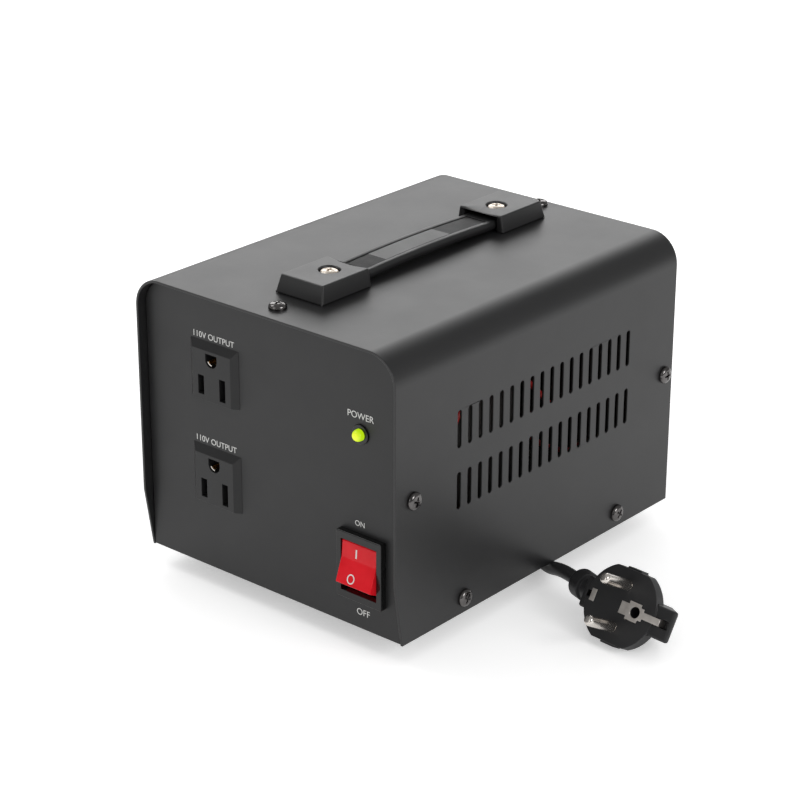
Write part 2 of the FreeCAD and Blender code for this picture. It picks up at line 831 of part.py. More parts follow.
def make_socket_contacts(z):
    """Two spring clips and an earth sleeve, each with a blade behind the body."""
    face_y = front_y - socket_proud
    y0 = face_y + socket_hole_depth + 0.3
    y1 = y0 + socket_clip_len
    clips = []
    for x, hole_z, w, h in socket_holes(z):
        outer = box(x - socket_clip_w / 2 + 0.1, x + socket_clip_w / 2 - 0.1, y0, y1,
                    hole_z - h / 2 + 0.3, hole_z + h / 2 - 0.3)
        grip = box(x - socket_clip_w / 2 + 0.1 + leaf_t, x + socket_clip_w / 2 - 0.1 - leaf_t,
                   y0 - 1, y1 - leaf_t, hole_z - h, hole_z + h)
        blade = box(x - blade_t / 2, x + blade_t / 2, y1 - 0.1, blade_end_y, hole_z - blade_w / 2,
                    hole_z + blade_w / 2)
        clips.append(outer.cut(grip).fuse(blade).removeSplitter())
    earth_z = z + socket_earth_dz
    r = socket_earth_w / 2 - fit_gap
    round_z = earth_z - socket_earth_h / 2 + socket_earth_w / 2
    sleeve = rod(socket_x, y0, round_z, r, socket_clip_len, y_axis)
    sleeve = sleeve.cut(rod(socket_x, y0 - 1, round_z, r - leaf_t, socket_clip_len - leaf_t + 1, y_axis))
    blade = box(socket_x - blade_w / 2, socket_x + blade_w / 2, y1 - 0.1, blade_end_y,
                earth_z - blade_t / 2, earth_z + blade_t / 2)
    clips.append(sleeve.fuse(blade).removeSplitter())
    return Part.makeCompound(clips)


def make_lamp():
    """Domed lens in a black ring that a nut holds behind the panel."""
    x = lamp_x
    ring_face = front_y - lamp_ring_t
    dome_low = ring_face - lamp_edge
    dome_r = (lamp_r ** 2 + lamp_dome ** 2) / (2 * lamp_dome)
    barrel = rod(x, dome_low, lamp_z, lamp_r, lamp_depth, y_axis)
    ball = Part.makeSphere(dome_r, V(x, dome_low - lamp_dome + dome_r, lamp_z))
    dome = ball.common(rod(x, dome_low - lamp_dome - 1, lamp_z, lamp_r, lamp_dome + 1, y_axis))
    legs = []
    for t in (-1, 1):
        legs.append(rod(x + t * lamp_leg_dx, dome_low + lamp_depth - 0.1, lamp_z, lamp_leg_r,
                        lamp_leg_len, y_axis))
    lens = fuse_all([barrel, dome] + legs)
    ring = rod(x, ring_face, lamp_z, lamp_ring_r, lamp_ring_t, y_axis)
    sleeve = rod(x, front_y, lamp_z, lamp_barrel_r, lamp_depth - lamp_edge - lamp_ring_t - 1, y_axis)
    bezel = fuse_all([ring, sleeve])
    edge = [e for e in bezel.Edges if abs(e.CenterOfMass.y - ring_face) < 1e-6]
    bezel = bezel.makeFillet(0.4, edge)
    bezel = bezel.cut(rod(x, ring_face - 1, lamp_z, lamp_r + fit_gap, lamp_depth + 5, y_axis))
    ring_nut = nut(x, front_y + sheet_t, lamp_z, lamp_nut_af, lamp_nut_h, lamp_barrel_r + fit_gap, y_axis)
    return lens, bezel, ring_nut


def rocker_tip(side):
    """Rest place of the upper (1) or lower (-1) tip of the rocker as (out from the pivot, up)."""
    a = math.radians(rocker_swing)
    out = rocker_tip_out * math.cos(a) - side * rocker_tip_up * math.sin(a)
    up = side * rocker_tip_up * math.cos(a) + rocker_tip_out * math.sin(a)
    return out, up


def make_rocker():
    """Two flat faces that meet in a fold, end walls that stay clear of the window, a trunnion each side."""
    x0 = switch_x - rocker_w / 2
    back_up = rocker_tip_up + (rocker_tip_out + rocker_back) * math.tan(math.radians(rocker_swing))
    outline = [(-rocker_back, -back_up), (rocker_tip_out, -rocker_tip_up), (rocker_fold_out, rocker_fold_up),
               (rocker_tip_out, rocker_tip_up), (-rocker_back, back_up)]
    body = prism_x([(switch_pivot_y - out, switch_z + up) for out, up in outline], x0, x0 + rocker_w)
    pins = rod(x0 - trunnion_len, switch_pivot_y, switch_z, trunnion_r, rocker_w + 2 * trunnion_len, x_axis)
    rocker = fuse_all([body, pins])
    return rocker.rotate(V(x0, switch_pivot_y, switch_z), x_axis, -rocker_swing)


def make_switch_housing():
    """Bezel on the panel and a box behind it that carries the rocker, the neon lamp and the blades."""
    x = switch_x
    bezel = block(x, front_y - bezel_t / 2, switch_z, bezel_w, bezel_t, bezel_h)
    rim = [e for e in bezel.Edges if abs(e.CenterOfMass.y - (front_y - bezel_t)) < 1e-6]
    corners = [e for e in bezel.Edges if abs(e.CenterOfMass.y - (front_y - bezel_t / 2)) < 1e-6]
    bezel = bezel.makeFillet(0.5, rim + corners)
    back_y = front_y + housing_depth
    shell = box(x - housing_w / 2, x + housing_w / 2, front_y, back_y,
                switch_z - housing_h / 2, switch_z + housing_h / 2)
    housing = fuse_all([bezel, shell])
    half_w = rocker_w / 2 + rocker_gap / 2
    window_h = rocker_tip(1)[1] + rocker_end_gap
    cavity_h = housing_h / 2 - housing_wall
    cavity_y = front_y - 0.3
    floor_y = back_y - 2 * housing_wall
    tools = [
        box(x - half_w, x + half_w, front_y - bezel_t - 1, cavity_y + 1, switch_z - window_h,
            switch_z + window_h),
        box(x - half_w, x + half_w, cavity_y, floor_y, switch_z - cavity_h, switch_z + cavity_h),
        rod(x - housing_w / 2 - 1, switch_pivot_y, switch_z, trunnion_r + fit_gap, housing_w + 2, x_axis),
    ]
    for bx, bz in switch_blade_places():
        tools.append(box(bx - blade_t / 2, bx + blade_t / 2, floor_y - 1, back_y + 1,
                         bz - blade_w / 2, bz + blade_w / 2))
    return cut_all(housing, tools), floor_y


def switch_blade_places():
    return [(switch_x + a * switch_blade_dx, switch_z + b * switch_blade_dz)
            for a in (-1, 1) for b in (-1, 1)]


def make_switch_inner(floor_y):
    neon_y = floor_y - neon_r
    neon = rod(switch_x - neon_len / 2, neon_y, switch_z, neon_r, neon_len, x_axis)
    blades = []
    back_y = front_y + housing_depth
    for bx, bz in switch_blade_places():
        blades.append(box(bx - blade_t / 2, bx + blade_t / 2, floor_y, back_y + blade_len,
                          bz - blade_w / 2, bz + blade_w / 2))
    return neon, Part.makeCompound(blades)


def make_core():
    """Laminated core with a window each side of its middle leg and a bolt hole in each corner."""
    core = box(-core_w / 2, core_w / 2, core_front_y, core_rear_y, core_bottom_z, core_top_z)
    tools = []
    for s in (-1, 1):
        near = s * core_leg / 2
        far = s * (core_leg / 2 + window_w)
        tools.append(box(min(near, far), max(near, far), core_front_y - 1, core_rear_y + 1,
                         window_low_z, window_high_z))
    for x, z in core_bolt_places():
        tools.append(rod(x, core_y - core_stack, z, core_bolt_r + hole_gap, 2 * core_stack, y_axis))
    return cut_all(core, tools)


def core_bolt_places():
    x = core_w / 2 - core_bolt_in
    return [(s * x, z) for s in (-1, 1)
            for z in (core_bottom_z + core_bolt_in, core_top_z - core_bolt_in)]


def ring_round_leg(inner_t, outer_t, z0, z1):
    """Rounded rectangular ring round the middle leg between two distances from it."""
    rings = []
    for t in (inner_t, outer_t):
        half_x = core_leg / 2 + t
        half_y = core_stack / 2 + t
        solid = box(-half_x, half_x, core_y - half_y, core_y + half_y, z0, z1)
        upright = [e for e in solid.Edges if abs(e.Vertexes[0].Z - e.Vertexes[1].Z) > 1]
        rings.append(solid.makeFillet(max(t, 0.5), upright))
    return rings[1].cut(rings[0])


def make_windings():
    wall_out = bobbin_gap + bobbin_wall
    flange_out = window_w - bobbin_gap
    z0 = window_low_z + bobbin_gap
    z1 = window_high_z - bobbin_gap
    tube = ring_round_leg(bobbin_gap, wall_out, z0, z1)
    low = ring_round_leg(bobbin_gap, flange_out, z0, z0 + bobbin_wall)
    high = ring_round_leg(bobbin_gap, flange_out, z1 - bobbin_wall, z1)
    bobbin = fuse_all([tube, low, high])
    w0 = z0 + bobbin_wall
    w1 = z1 - bobbin_wall
    copper = flange_out - winding_inset - wall_out - 2 * tape_t
    primary_out = wall_out + copper * primary_share
    secondary_in = primary_out + tape_t
    secondary_out = secondary_in + copper * (1 - primary_share)
    primary = ring_round_leg(wall_out, primary_out, w0, w1)
    between = ring_round_leg(primary_out, secondary_in, w0, w1)
    secondary = ring_round_leg(secondary_in, secondary_out, w0, w1)
    outside = ring_round_leg(secondary_out, secondary_out + tape_t, w0, w1)
    return bobbin, primary, secondary, Part.makeCompound([between, outside])


def bracket_screw_places():
    y = core_stack / 2 + bracket_foot - head_r - bracket_end
    return [(sx * bracket_screw_x, core_y + sy * y) for sx in (-1, 1) for sy in (-1, 1)]


def make_transformer_fixings():
    """Two angle brackets, four bolts with nuts through the core, four screws with nuts in the floor."""
    brackets = []
    bolts = []
    nuts = []
    floor_screws = []
    for s in (-1, 1):
        face = core_y + s * core_stack / 2
        out = face + s * bracket_t
        foot = face + s * bracket_foot
        up = box(-core_w / 2, core_w / 2, min(face, out), max(face, out), floor_z,
                 floor_z + bracket_up + core_lift)
        flat = box(-core_w / 2, core_w / 2, min(face, foot), max(face, foot), floor_z, floor_z + bracket_t)
        bracket = fuse_all([up, flat])
        tools = []
        for x, z in core_bolt_places():
            tools.append(rod(x, core_y - core_stack, z, core_bolt_r + hole_gap, 2 * core_stack, y_axis))
        for x, y in bracket_screw_places():
            tools.append(rod(x, y, floor_z - 1, hole_r, bracket_t + 2, z_axis))
        brackets.append(cut_all(bracket, tools))
    for x, z in core_bolt_places():
        plate = bracket_t if z < core_bottom_z + core_h / 2 else 0
        start = core_front_y - plate
        end = core_rear_y + plate
        head = hex_prism(x, start - core_bolt_head_h, z, 2 * core_bolt_head_r * 0.9, core_bolt_head_h, y_axis)
        shank = rod(x, start, z, core_bolt_r, end - start + core_nut_h + 2, y_axis)
        bolts.append(head.fuse(shank).removeSplitter())
        nuts.append(nut(x, end, z, core_nut_af, core_nut_h, core_bolt_r + fit_gap, y_axis))
    length = bracket_t + sheet_t + nut_h + 1
    for x, y in bracket_screw_places():
        floor_screws.append(pan_screw(x, y, chassis_bottom_z, z_axis * -1, length))
        nuts.append(nut(x, y, floor_z + bracket_t, nut_af, nut_h, screw_r + fit_gap, z_axis))
    return [Part.makeCompound(group) for group in (brackets, bolts, nuts, floor_screws)]


def breaker_reach():
    """The breaker button stands as far behind the rear panel as the rocker does before the front panel."""
    return rocker_tip(-1)[0] - rocker_pivot_in


def make_breaker():
    inner_y = rear_y - sheet_t
    body = box(breaker_x - breaker_w / 2, breaker_x + breaker_w / 2, inner_y - breaker_depth, inner_y,
               breaker_z - breaker_h / 2, breaker_z + breaker_h / 2)
    neck = rod(breaker_x, inner_y - 0.1, breaker_z, breaker_neck_r, sheet_t + breaker_neck_out + 0.1, y_axis)
    body = fuse_all([body, neck])
    bore_y = inner_y - breaker_button_in
    tip_y = rear_y + breaker_reach()
    tools = [rod(breaker_x, bore_y, breaker_z, breaker_button_r + fit_gap, breaker_depth, y_axis)]
    blade_in = inner_y - breaker_depth
    blades = []
    for t in (-1, 1):
        z = breaker_z + t * breaker_blade_dz
        tools.append(box(breaker_x - blade_w / 2, breaker_x + blade_w / 2, blade_in - 1, blade_in + 4,
                         z - blade_t / 2, z + blade_t / 2))
        blades.append(box(breaker_x - blade_w / 2, breaker_x + blade_w / 2, blade_in - blade_len,
                          blade_in + 4, z - blade_t / 2, z + blade_t / 2))
    body = cut_all(body, tools)
    button = rod(breaker_x, bore_y + breaker_travel + 0.3, breaker_z, breaker_button_r,
                 tip_y - bore_y - breaker_travel - 0.3, y_axis)
    rim = [e for e in button.Edges if abs(e.CenterOfMass.y - tip_y) < 1e-6]
    button = button.makeFillet(0.6, rim)
    ring = nut(breaker_x, rear_y, breaker_z, breaker_nut_af, breaker_nut_h, breaker_neck_r + fit_gap, y_axis)
    return body, button, ring, Part.makeCompound(blades)


def make_earth_stud():
    """Screw up through the floor with a nut on two ring tags that point opposite ways."""
    length = sheet_t + 2 * tag_t + nut_h + 2
    screw = pan_screw(earth_x, earth_y, chassis_bottom_z, z_axis * -1, length)
    tags = []
    for s, z in ((1, floor_z), (-1, floor_z + tag_t)):
        end = earth_x + s * tag_len
        ring = rod(earth_x, earth_y, z, tag_r, tag_t, z_axis)
        arm = box(min(earth_x, end), max(earth_x, end), earth_y - 2, earth_y + 2, z, z + tag_t)
        barrel = rod(end, earth_y, earth_wire_z(z), wire_r + 0.5, tag_barrel, x_axis * -s)
        tag = fuse_all([ring, arm, barrel])
        tags.append(tag.cut(rod(earth_x, earth_y, floor_z - 1, screw_r + fit_gap, 3 * tag_t + 2, z_axis)))
    top = nut(earth_x, earth_y, floor_z + 2 * tag_t, nut_af, nut_h, screw_r + fit_gap, z_axis)
    return Part.makeCompound([screw, top]), Part.makeCompound(tags)


def earth_wire_z(tag_z):
    return tag_z + tag_t + wire_r


def smooth_path(points):
    """Wire of straight runs joined by tangent arcs, with the arcs' radii."""
    pts = [V(*p) for p in points]
    edges = []
    radii = []
    start = pts[0]
    for before, corner, after in zip(pts, pts[1:], pts[2:]):
        run_in = corner - before
        run_out = after - corner
        d_in = V(run_in).normalize()
        d_out = V(run_out).normalize()
        half = d_in.getAngle(d_out) / 2
        trim = 0.45 * min(run_in.Length, run_out.Length)
        radius = trim / math.tan(half)
        radii.append(radius)
        a = corner - d_in * trim
        b = corner + d_out * trim
        inward = (d_out - d_in).normalize()
        centre = corner + inward * (radius / math.cos(half))
        mid = centre - inward * radius
        edges.append(Part.LineSegment(start, a).toShape())
        edges.append(Part.Arc(a, mid, b).toShape())
        start = b
    edges.append(Part.LineSegment(start, pts[-1]).toShape())
    return Part.Wire(edges), radii


def tube_along(path, start, direction, radius):
    ring = Part.Wire(Part.makeCircle(radius, start, direction))
    return path.makePipeShell([ring], True, False)


def make_tube(points, radius, name):
    path, radii = smooth_path(points)
    first = V(*points[0])
    tube = tube_along(path, first, V(*points[1]) - first, radius)
    ratio = tube.Volume / (math.pi * radius ** 2 * path.Length)
    print("%s length %.1f, radii %s, volume ratio %.4f" %
          (name, path.Length, [round(r, 1) for r in radii], ratio))
    return tube


def inner_wires():
    """Routes of the wires inside the case: red switched live, black, earth, and the thin pair of the lamp."""
    switch_back = front_y + housing_depth + blade_len
    switch_right = switch_x + switch_blade_dx
    switch_left = switch_x - switch_blade_dx
    switch_high = switch_z + switch_blade_dz
    switch_low = switch_z - switch_blade_dz
    breaker_back = rear_y - sheet_t - breaker_depth - blade_len
    breaker_high = breaker_z + breaker_blade_dz
    breaker_low = breaker_z - breaker_blade_dz
    relief_back = rear_y - sheet_t - relief_in
    relief_right = relief_x + relief_wire_dx
    relief_left = relief_x - relief_wire_dx
    relief_high = relief_z + relief_wire_up
    relief_low = relief_z - relief_wire_down
    coil_top = window_high_z - bobbin_gap
    coil_front = core_front_y - window_w
    lead_front = core_front_y - lead_in
    lead_rear = core_rear_y + lead_in
    side = core_w / 2
    high = socket_low_z + socket_step
    low = socket_low_z
    neutral_x = socket_x + socket_slot_dx
    live_x = socket_x - socket_slot_dx
    high_slot = high + socket_slot_dz
    low_slot = low + socket_slot_dz
    high_earth = high + socket_earth_dz
    low_earth = low + socket_earth_dz
    lamp_back = front_y - lamp_ring_t - lamp_edge + lamp_depth + lamp_leg_len
    lamp_lane = lamp_back + 12.5
    lamp_left = lamp_x - lamp_leg_dx
    lamp_right = lamp_x + lamp_leg_dx
    red = [
        [(breaker_x, breaker_back, breaker_high), (breaker_x, breaker_back - 8.5, breaker_high), (53, 42, 64),
         (side + 9.5, 20, 79), (side + 7.5, 2, 98), (side + 5.5, -20, 106), (side + 8.5, -44, 98),
         (side + 9.5, switch_back + 15.2, 74), (switch_right, switch_back + 11.2, 59),
         (switch_right, switch_back + 9.2, switch_high), (switch_right, switch_back, switch_high)],
        [(switch_left, switch_back, switch_high), (switch_left, switch_back + 10.2, switch_high),
         (42, switch_back + 17.2, 66), (38, lead_front, coil_top + 0.4), (31, lead_front, coil_top + 11.4),
         (22, lead_front, coil_top + 11.4), (22, lead_front, coil_top)],
        [(relief_right, relief_back, relief_high), (relief_right, relief_back - 11.5, relief_high),
         (16, relief_back - 26.5, 38), (34, breaker_back - 12.5, 40),
         (breaker_x, breaker_back - 11.5, breaker_low), (breaker_x, breaker_back, breaker_low)],
    ]
    black = [
        [(-21, lead_front, coil_top), (-21, lead_front, coil_top + 8.9),
         (neutral_x, blade_end_y + 11.7, high_slot), (neutral_x, blade_end_y, high_slot)],
        [(-29, lead_front, coil_top), (-29, lead_front, coil_top + 8.9),
         (live_x, blade_end_y + 11.7, high_slot), (live_x, blade_end_y, high_slot)],
        [(-12, lead_front, coil_top), (-12, lead_front, coil_top + 8.9),
         (-13, coil_front - 2, coil_top + 6.4), (-18, coil_front - 2.5, 72),
         (neutral_x, coil_front - 2.5, low_slot), (neutral_x, blade_end_y, low_slot)],
        [(-33, lead_front + 3, coil_top), (-33, lead_front + 3, coil_top + 7.9),
         (-42, lead_front - 1, coil_top + 4.4), (-43, coil_front + 4.5, 68),
         (live_x, coil_front + 1.5, low_slot), (live_x, blade_end_y, low_slot)],
        [(relief_left, relief_back, relief_high), (relief_left, relief_back - 11.5, relief_high),
         (-8, 57, 52), (-10, 38, 78), (-10, lead_rear + 11, coil_top + 13.4),
         (-10, lead_rear, coil_top + 13.4), (-10, lead_rear, coil_top)],
    ]
    first_tag = earth_wire_z(floor_z)
    second_tag = earth_wire_z(floor_z + tag_t)
    earth = [
        [(relief_x, relief_back, relief_low), (relief_x, relief_back - 9.5, relief_low),
         (relief_x - 1, relief_back - 19.5, 23), (-5, earth_y, first_tag),
         (earth_x + tag_len, earth_y, first_tag)],
        [(socket_x, blade_end_y, high_earth), (socket_x, blade_end_y + 10.7, high_earth),
         (-41, blade_end_y + 11.7, 106), (-50, blade_end_y + 9.7, 94), (-51, blade_end_y + 8.7, 78),
         (-46, blade_end_y + 5.7, 65), (socket_x, blade_end_y + 8.7, low_earth),
         (socket_x, blade_end_y, low_earth)],
        [(socket_x - blade_w / 2, blade_end_y - 3.3, low_earth), (-46, blade_end_y - 3.3, low_earth),
         (-60, blade_end_y + 5.7, 50), (-side - 11.5, -40, 38), (-side - 10.5, -8, 30), (-side - 9.5, 18, 25),
         (-60, 40, 19), (-56, earth_y - 5, 16), (-50, earth_y, second_tag),
         (earth_x - tag_len, earth_y, second_tag)],
    ]
    lamp = [
        [(lamp_left, lamp_back, lamp_z), (lamp_left, lamp_back + 9.5, lamp_z), (46, lamp_lane, 85),
         (40.5, lamp_lane, 62), (41, lamp_lane, 44), (switch_left, lamp_lane, switch_low),
         (switch_left, switch_back, switch_low)],
        [(lamp_right, lamp_back, lamp_z), (lamp_right, lamp_back + 9.5, lamp_z), (58, lamp_lane, 85),
         (66, lamp_lane, 63), (64, lamp_lane, 44), (switch_right, lamp_lane, switch_low),
         (switch_right, switch_back, switch_low)],
    ]
    return red, black, earth, lamp


def make_wires():
    red, black, earth, lamp = inner_wires()
    groups = []
    for name, routes, radius in (("red wire", red, wire_r), ("black wire", black, wire_r),
                                 ("earth wire", earth, wire_r), ("lamp wire", lamp, lamp_wire_r)):
        groups.append(Part.makeCompound([make_tube(route, radius, name) for route in routes]))
    return groups


def make_strain_relief():
    """Moulded bush: flange inside, flange outside and a ribbed taper round the cord."""
    inner = rear_y - sheet_t
    r = relief_neck_r
    tip = rear_y + relief_out
    root = rear_y + relief_flange_t
    low = inner - relief_in
    profile = [(0, low), (relief_in_r - 1, low), (relief_in_r, low + 1),
               (relief_in_r, inner), (r, inner), (r, rear_y), (relief_flange_r, rear_y),
               (relief_flange_r, root - 0.6), (relief_flange_r - 0.6, root), (relief_root_r, root)]
    slope = (relief_root_r - relief_tip_r) / (tip - root)
    y = root + relief_rib_w
    while y + relief_rib_step < tip:
        here = relief_root_r - slope * (y - root)
        profile += [(here, y), (here - relief_rib_depth, y),
                    (here - relief_rib_depth, y + relief_rib_step - relief_rib_w),
                    (here, y + relief_rib_step - relief_rib_w)]
        y += relief_rib_step
    profile += [(relief_tip_r, tip), (0, tip)]
    return turned(profile, V(relief_x, 0, relief_z), y_axis)


def biarc(p0, t0, p1, t1):
    """Two tangent arcs from p0 to p1 with the unit tangents t0 and t1."""
    v = p1 - p0
    t = t0 + t1
    lean = 1 - t0.dot(t1)
    vt = v.dot(t)
    d = (math.sqrt(vt * vt + 2 * lean * v.dot(v)) - vt) / (2 * lean)
    q0 = p0 + t0 * d
    q1 = p1 - t1 * d
    joint = (q0 + q1) * 0.5
    arcs = []
    for a, q, b in ((p0, q0, joint), (joint, q1, p1)):
        chord_mid = (a + b) * 0.5
        half = (b - a).Length / 2
        rise = q - chord_mid
        sag = half * math.tan(math.atan2(rise.Length, half) / 2)
        arcs.append(Part.Arc(a, chord_mid + rise.normalize() * sag, b).toShape())
    return arcs


def coil_turns():
    return coil_whole_turns + (coil_end_deg - coil_start_deg) / 360.0


def coil_low_z():
    return cord_d / 2 + tie_t


def coil_point(turn):
    """Centre of the cord after a number of turns: in on the upper layer, out on the lower one."""
    middle = coil_turns() / 2
    r = coil_outer_r - coil_turn_step * middle + coil_turn_step * abs(turn - middle)
    climb = min(max((turn - middle) * 2 + 0.5, 0.0), 1.0)
    z = coil_low_z() + coil_layer_step * (1 - climb)
    a = math.radians(coil_start_deg + 360 * turn)
    return V(coil_x + r * math.cos(a), coil_y + r * math.sin(a), z)


def coil_tangent(turn):
    """Direction of the cord there. The ends run level and square to their radius."""
    total = coil_turns()
    if turn <= 0 or turn >= total:
        a = math.radians(coil_start_deg + 360 * turn)
        return V(-math.sin(a), math.cos(a), 0)
    step = 0.02
    return (coil_point(turn + step) - coil_point(turn - step)).normalize()


def make_coil():
    total = coil_turns()
    middle = total / 2
    count = round(total * 4)
    marks = [total * k / count for k in range(count + 1)]
    marks = [m for m in marks if abs(m - middle) > 0.4] + [middle - 0.25, middle, middle + 0.25]
    marks.sort()
    start, end = coil_ends()
    edges = [Part.LineSegment(start, coil_point(0)).toShape()]
    for m0, m1 in zip(marks, marks[1:]):
        edges += biarc(coil_point(m0), coil_tangent(m0), coil_point(m1), coil_tangent(m1))
    edges.append(Part.LineSegment(coil_point(total), end).toShape())
    path = Part.Wire(edges)
    coil = tube_along(path, start, coil_tangent(0), cord_d / 2)
    ratio = coil.Volume / (math.pi * (cord_d / 2) ** 2 * path.Length)
    print("coil length %.1f, turns %.2f, volume ratio %.4f, least gap to itself %.2f" %
          (path.Length, total, ratio, least_gap(path)))
    return coil


def coil_ends():
    """Outer ends of the coil's solid, one cord diameter past the first and the last turn."""
    total = coil_turns()
    return coil_point(0) - coil_tangent(0) * cord_d, coil_point(total) + coil_tangent(total) * cord_d


def least_gap(path):
    """Least free space between turns, measured on points along the middle line."""
    pts = path.discretize(Distance=2.5)
    least = 1e9
    skip = int(12 * cord_d / 2.5)
    for i in range(0, len(pts), 2):
        for j in range(i + skip, len(pts)):
            least = min(least, (pts[i] - pts[j]).Length)
    return least - cord_d


def make_tie():
    """Flat band round all the turns at one place of the coil."""
    turns = []
    total = coil_turns()
    first = (tie_deg - coil_start_deg) / 360.0
    while first <= total:
        if first >= 0:
            turns.append(coil_point(first))
        first += 1
    centre = V(coil_x, coil_y, 0)
    radii = [(V(p.x, p.y, 0) - centre).Length for p in turns]
    r0 = min(radii) - cord_d / 2 - tie_gap
    r1 = max(radii) + cord_d / 2 + tie_gap
    z1 = coil_low_z() + coil_layer_step + cord_d / 2 + tie_gap
    outer = box(r0 - tie_t, r1 + tie_t, -tie_w / 2, tie_w / 2, 0, z1 + tie_t)
    long_edges = [e for e in outer.Edges if abs(e.Vertexes[0].Y - e.Vertexes[1].Y) > 1]
    outer = outer.makeFillet(cord_d / 2, long_edges)
    inner = box(r0, r1, -tie_w, tie_w, tie_t, z1)
    long_edges = [e for e in inner.Edges if abs(e.Vertexes[0].Y - e.Vertexes[1].Y) > 1]
    inner = inner.makeFillet(cord_d / 2 - tie_t, long_edges)
    band = outer.cut(inner)
    band.rotate(V(0, 0, 0), z_axis, tie_deg)
    band.translate(centre)
    return band


def plug_placement(height):
    """The plug is drawn with its face in the XZ plane facing -Y, then tilted up and turned."""
    tilt = FreeCAD.Rotation(x_axis, -plug_tilt)
    yaw = FreeCAD.Rotation(z_axis, plug_yaw)
    return FreeCAD.Placement(V(plug_x, plug_y, height), yaw.multiply(tilt))


def make_plug_parts():
    """Angled plug: face with two flats and tabs, grip and cable end behind it, pins and earth contacts."""
    disc = rod(0, 0, 0, plug_r, plug_rim, y_axis)
    back_rim = [e for e in disc.Edges if abs(e.CenterOfMass.y - plug_rim) < 1e-6]
    disc = disc.makeFillet(plug_edge_r, back_rim)
    waist_r = plug_r - plug_edge_r
    waist_end = plug_back - plug_cable_bevel_in
    waist = turned([(0, 1), (waist_r, 1), (waist_r, plug_rim), (plug_neck_w / 2, waist_end), (0, waist_end)],
                   V(0, 0, 0), y_axis)
    flats = box(-plug_r, plug_r, 0, plug_back, -plug_flat, plug_flat)
    rounds = disc.fuse(waist).common(flats)
    outline = [(-plug_cable_side, plug_cable_face), (plug_grip, plug_grip_in), (plug_grip, plug_grip_end),
               (plug_grip_root, plug_back), (-plug_cable_side + plug_cable_bevel, plug_back),
               (-plug_cable_side, plug_back - plug_cable_bevel_in)]
    corners = [V(px, py, -plug_neck_w / 2) for px, py in outline]
    body = Part.Face(Part.makePolygon(corners + corners[:1])).extrude(V(0, 0, plug_neck_w))
    body = body.makeFillet(plug_edge_r, body.Edges)
    tabs = block(0, (plug_tab_in + plug_rim) / 2, 0, plug_tab_w, plug_rim - plug_tab_in, 2 * plug_tab_out)
    shell = fuse_all([rounds, body, tabs])
    tools = [rod(earth_hole_v, 0, 0, earth_hole_r, earth_hole_depth, y_axis)]
    pins = []
    tip = pin_r * 0.55
    for t in (-1, 1):
        tools.append(rod(0, 0, t * pin_half_step, pin_root_r, pin_root, y_axis))
        profile = [(0, -pin_len), (pin_r - tip, -pin_len), (pin_r - tip * 0.3, -pin_len + tip * 0.4),
                   (pin_r, -pin_len + tip * 1.3), (pin_r, 0), (pin_root_r, 0), (pin_root_r, pin_root),
                   (0, pin_root)]
        pins.append(turned(profile, V(0, 0, t * pin_half_step), y_axis))
    clip = fuse_all([
        box(-clip_out, -clip_out + clip_face_len, 0, clip_t, -clip_w / 2, clip_w / 2),
        box(-clip_out, -clip_out + clip_t, 0, clip_side_len, -clip_w / 2, clip_w / 2),
    ])
    plate = fuse_all([
        box(tongue_start, plate_start, 0, clip_t, -tongue_w / 2, tongue_w / 2),
        box(plate_start, plate_neck_start, 0, clip_t, -plate_w / 2, plate_w / 2),
        box(plate_neck_start, strip_start, 0, clip_t, -plate_neck_w / 2, plate_neck_w / 2),
        box(strip_start, strip_end, 0, strip_t, -strip_w / 2, strip_w / 2),
        box(strip_end - clip_t, strip_end, 0, strip_slot_depth, -strip_w / 2, strip_w / 2),
    ])
    plate = plate.cut(rod(earth_hole_v, -1, 0, earth_hole_r, clip_t + 2, y_axis))
    notch = box(-plug_r - 1, -clip_out, -1, clip_side_len, -clip_notch_w / 2, clip_notch_w / 2)
    slot = box(strip_end, strip_end + strip_slot_len, -1, strip_slot_depth, -strip_slot_w / 2,
               strip_slot_w / 2)
    shell = cut_all(shell, tools + [clip, plate, notch, slot])
    return shell, Part.makeCompound(pins), Part.makeCompound([clip, plate])


def sleeve_direction():
    """The way that the cord runs into the plug."""
    yaw = math.radians(sleeve_yaw)
    pitch = math.radians(sleeve_pitch)
    return V(math.cos(pitch) * math.cos(yaw), math.cos(pitch) * math.sin(yaw), math.sin(pitch))


def make_plug():
    """Plug and its bent sleeve, resting on the floor, and the point where the cord meets it."""
    shell, pins, clips = make_plug_parts()
    level = plug_placement(0)
    trial = shell.copy()
    trial.Placement = level
    height = -trial.optimalBoundingBox(False, False).ZMin
    print("plug height", round(height, 3))
    spot = plug_placement(height)
    root = spot.multVec(V(-plug_cable_side + sleeve_in, plug_cable_in, plug_cable_up))
    way = sleeve_direction()
    length = sleeve_len + sleeve_root_in
    ring = length - sleeve_ring_in
    profile = [(0, 0), (sleeve_tip_r, 0), (sleeve_tip_r + 0.5, 1.2), (sleeve_ball_r, 3.0),
               (sleeve_ball_r, ring),
               (sleeve_root_r - 1, ring + 0.4), (sleeve_root_r - 1, ring + 2), (sleeve_root_r, ring + 2.6),
               (sleeve_root_r, length), (0, length)]
    cord_end = root - way * sleeve_len
    sleeve = turned(profile, cord_end, way)
    placed = []
    for shape in (shell, pins, clips):
        shape.Placement = spot
        placed.append(shape)
    body = placed[0].fuse(sleeve).removeSplitter()
    return body, placed[1], placed[2], cord_end


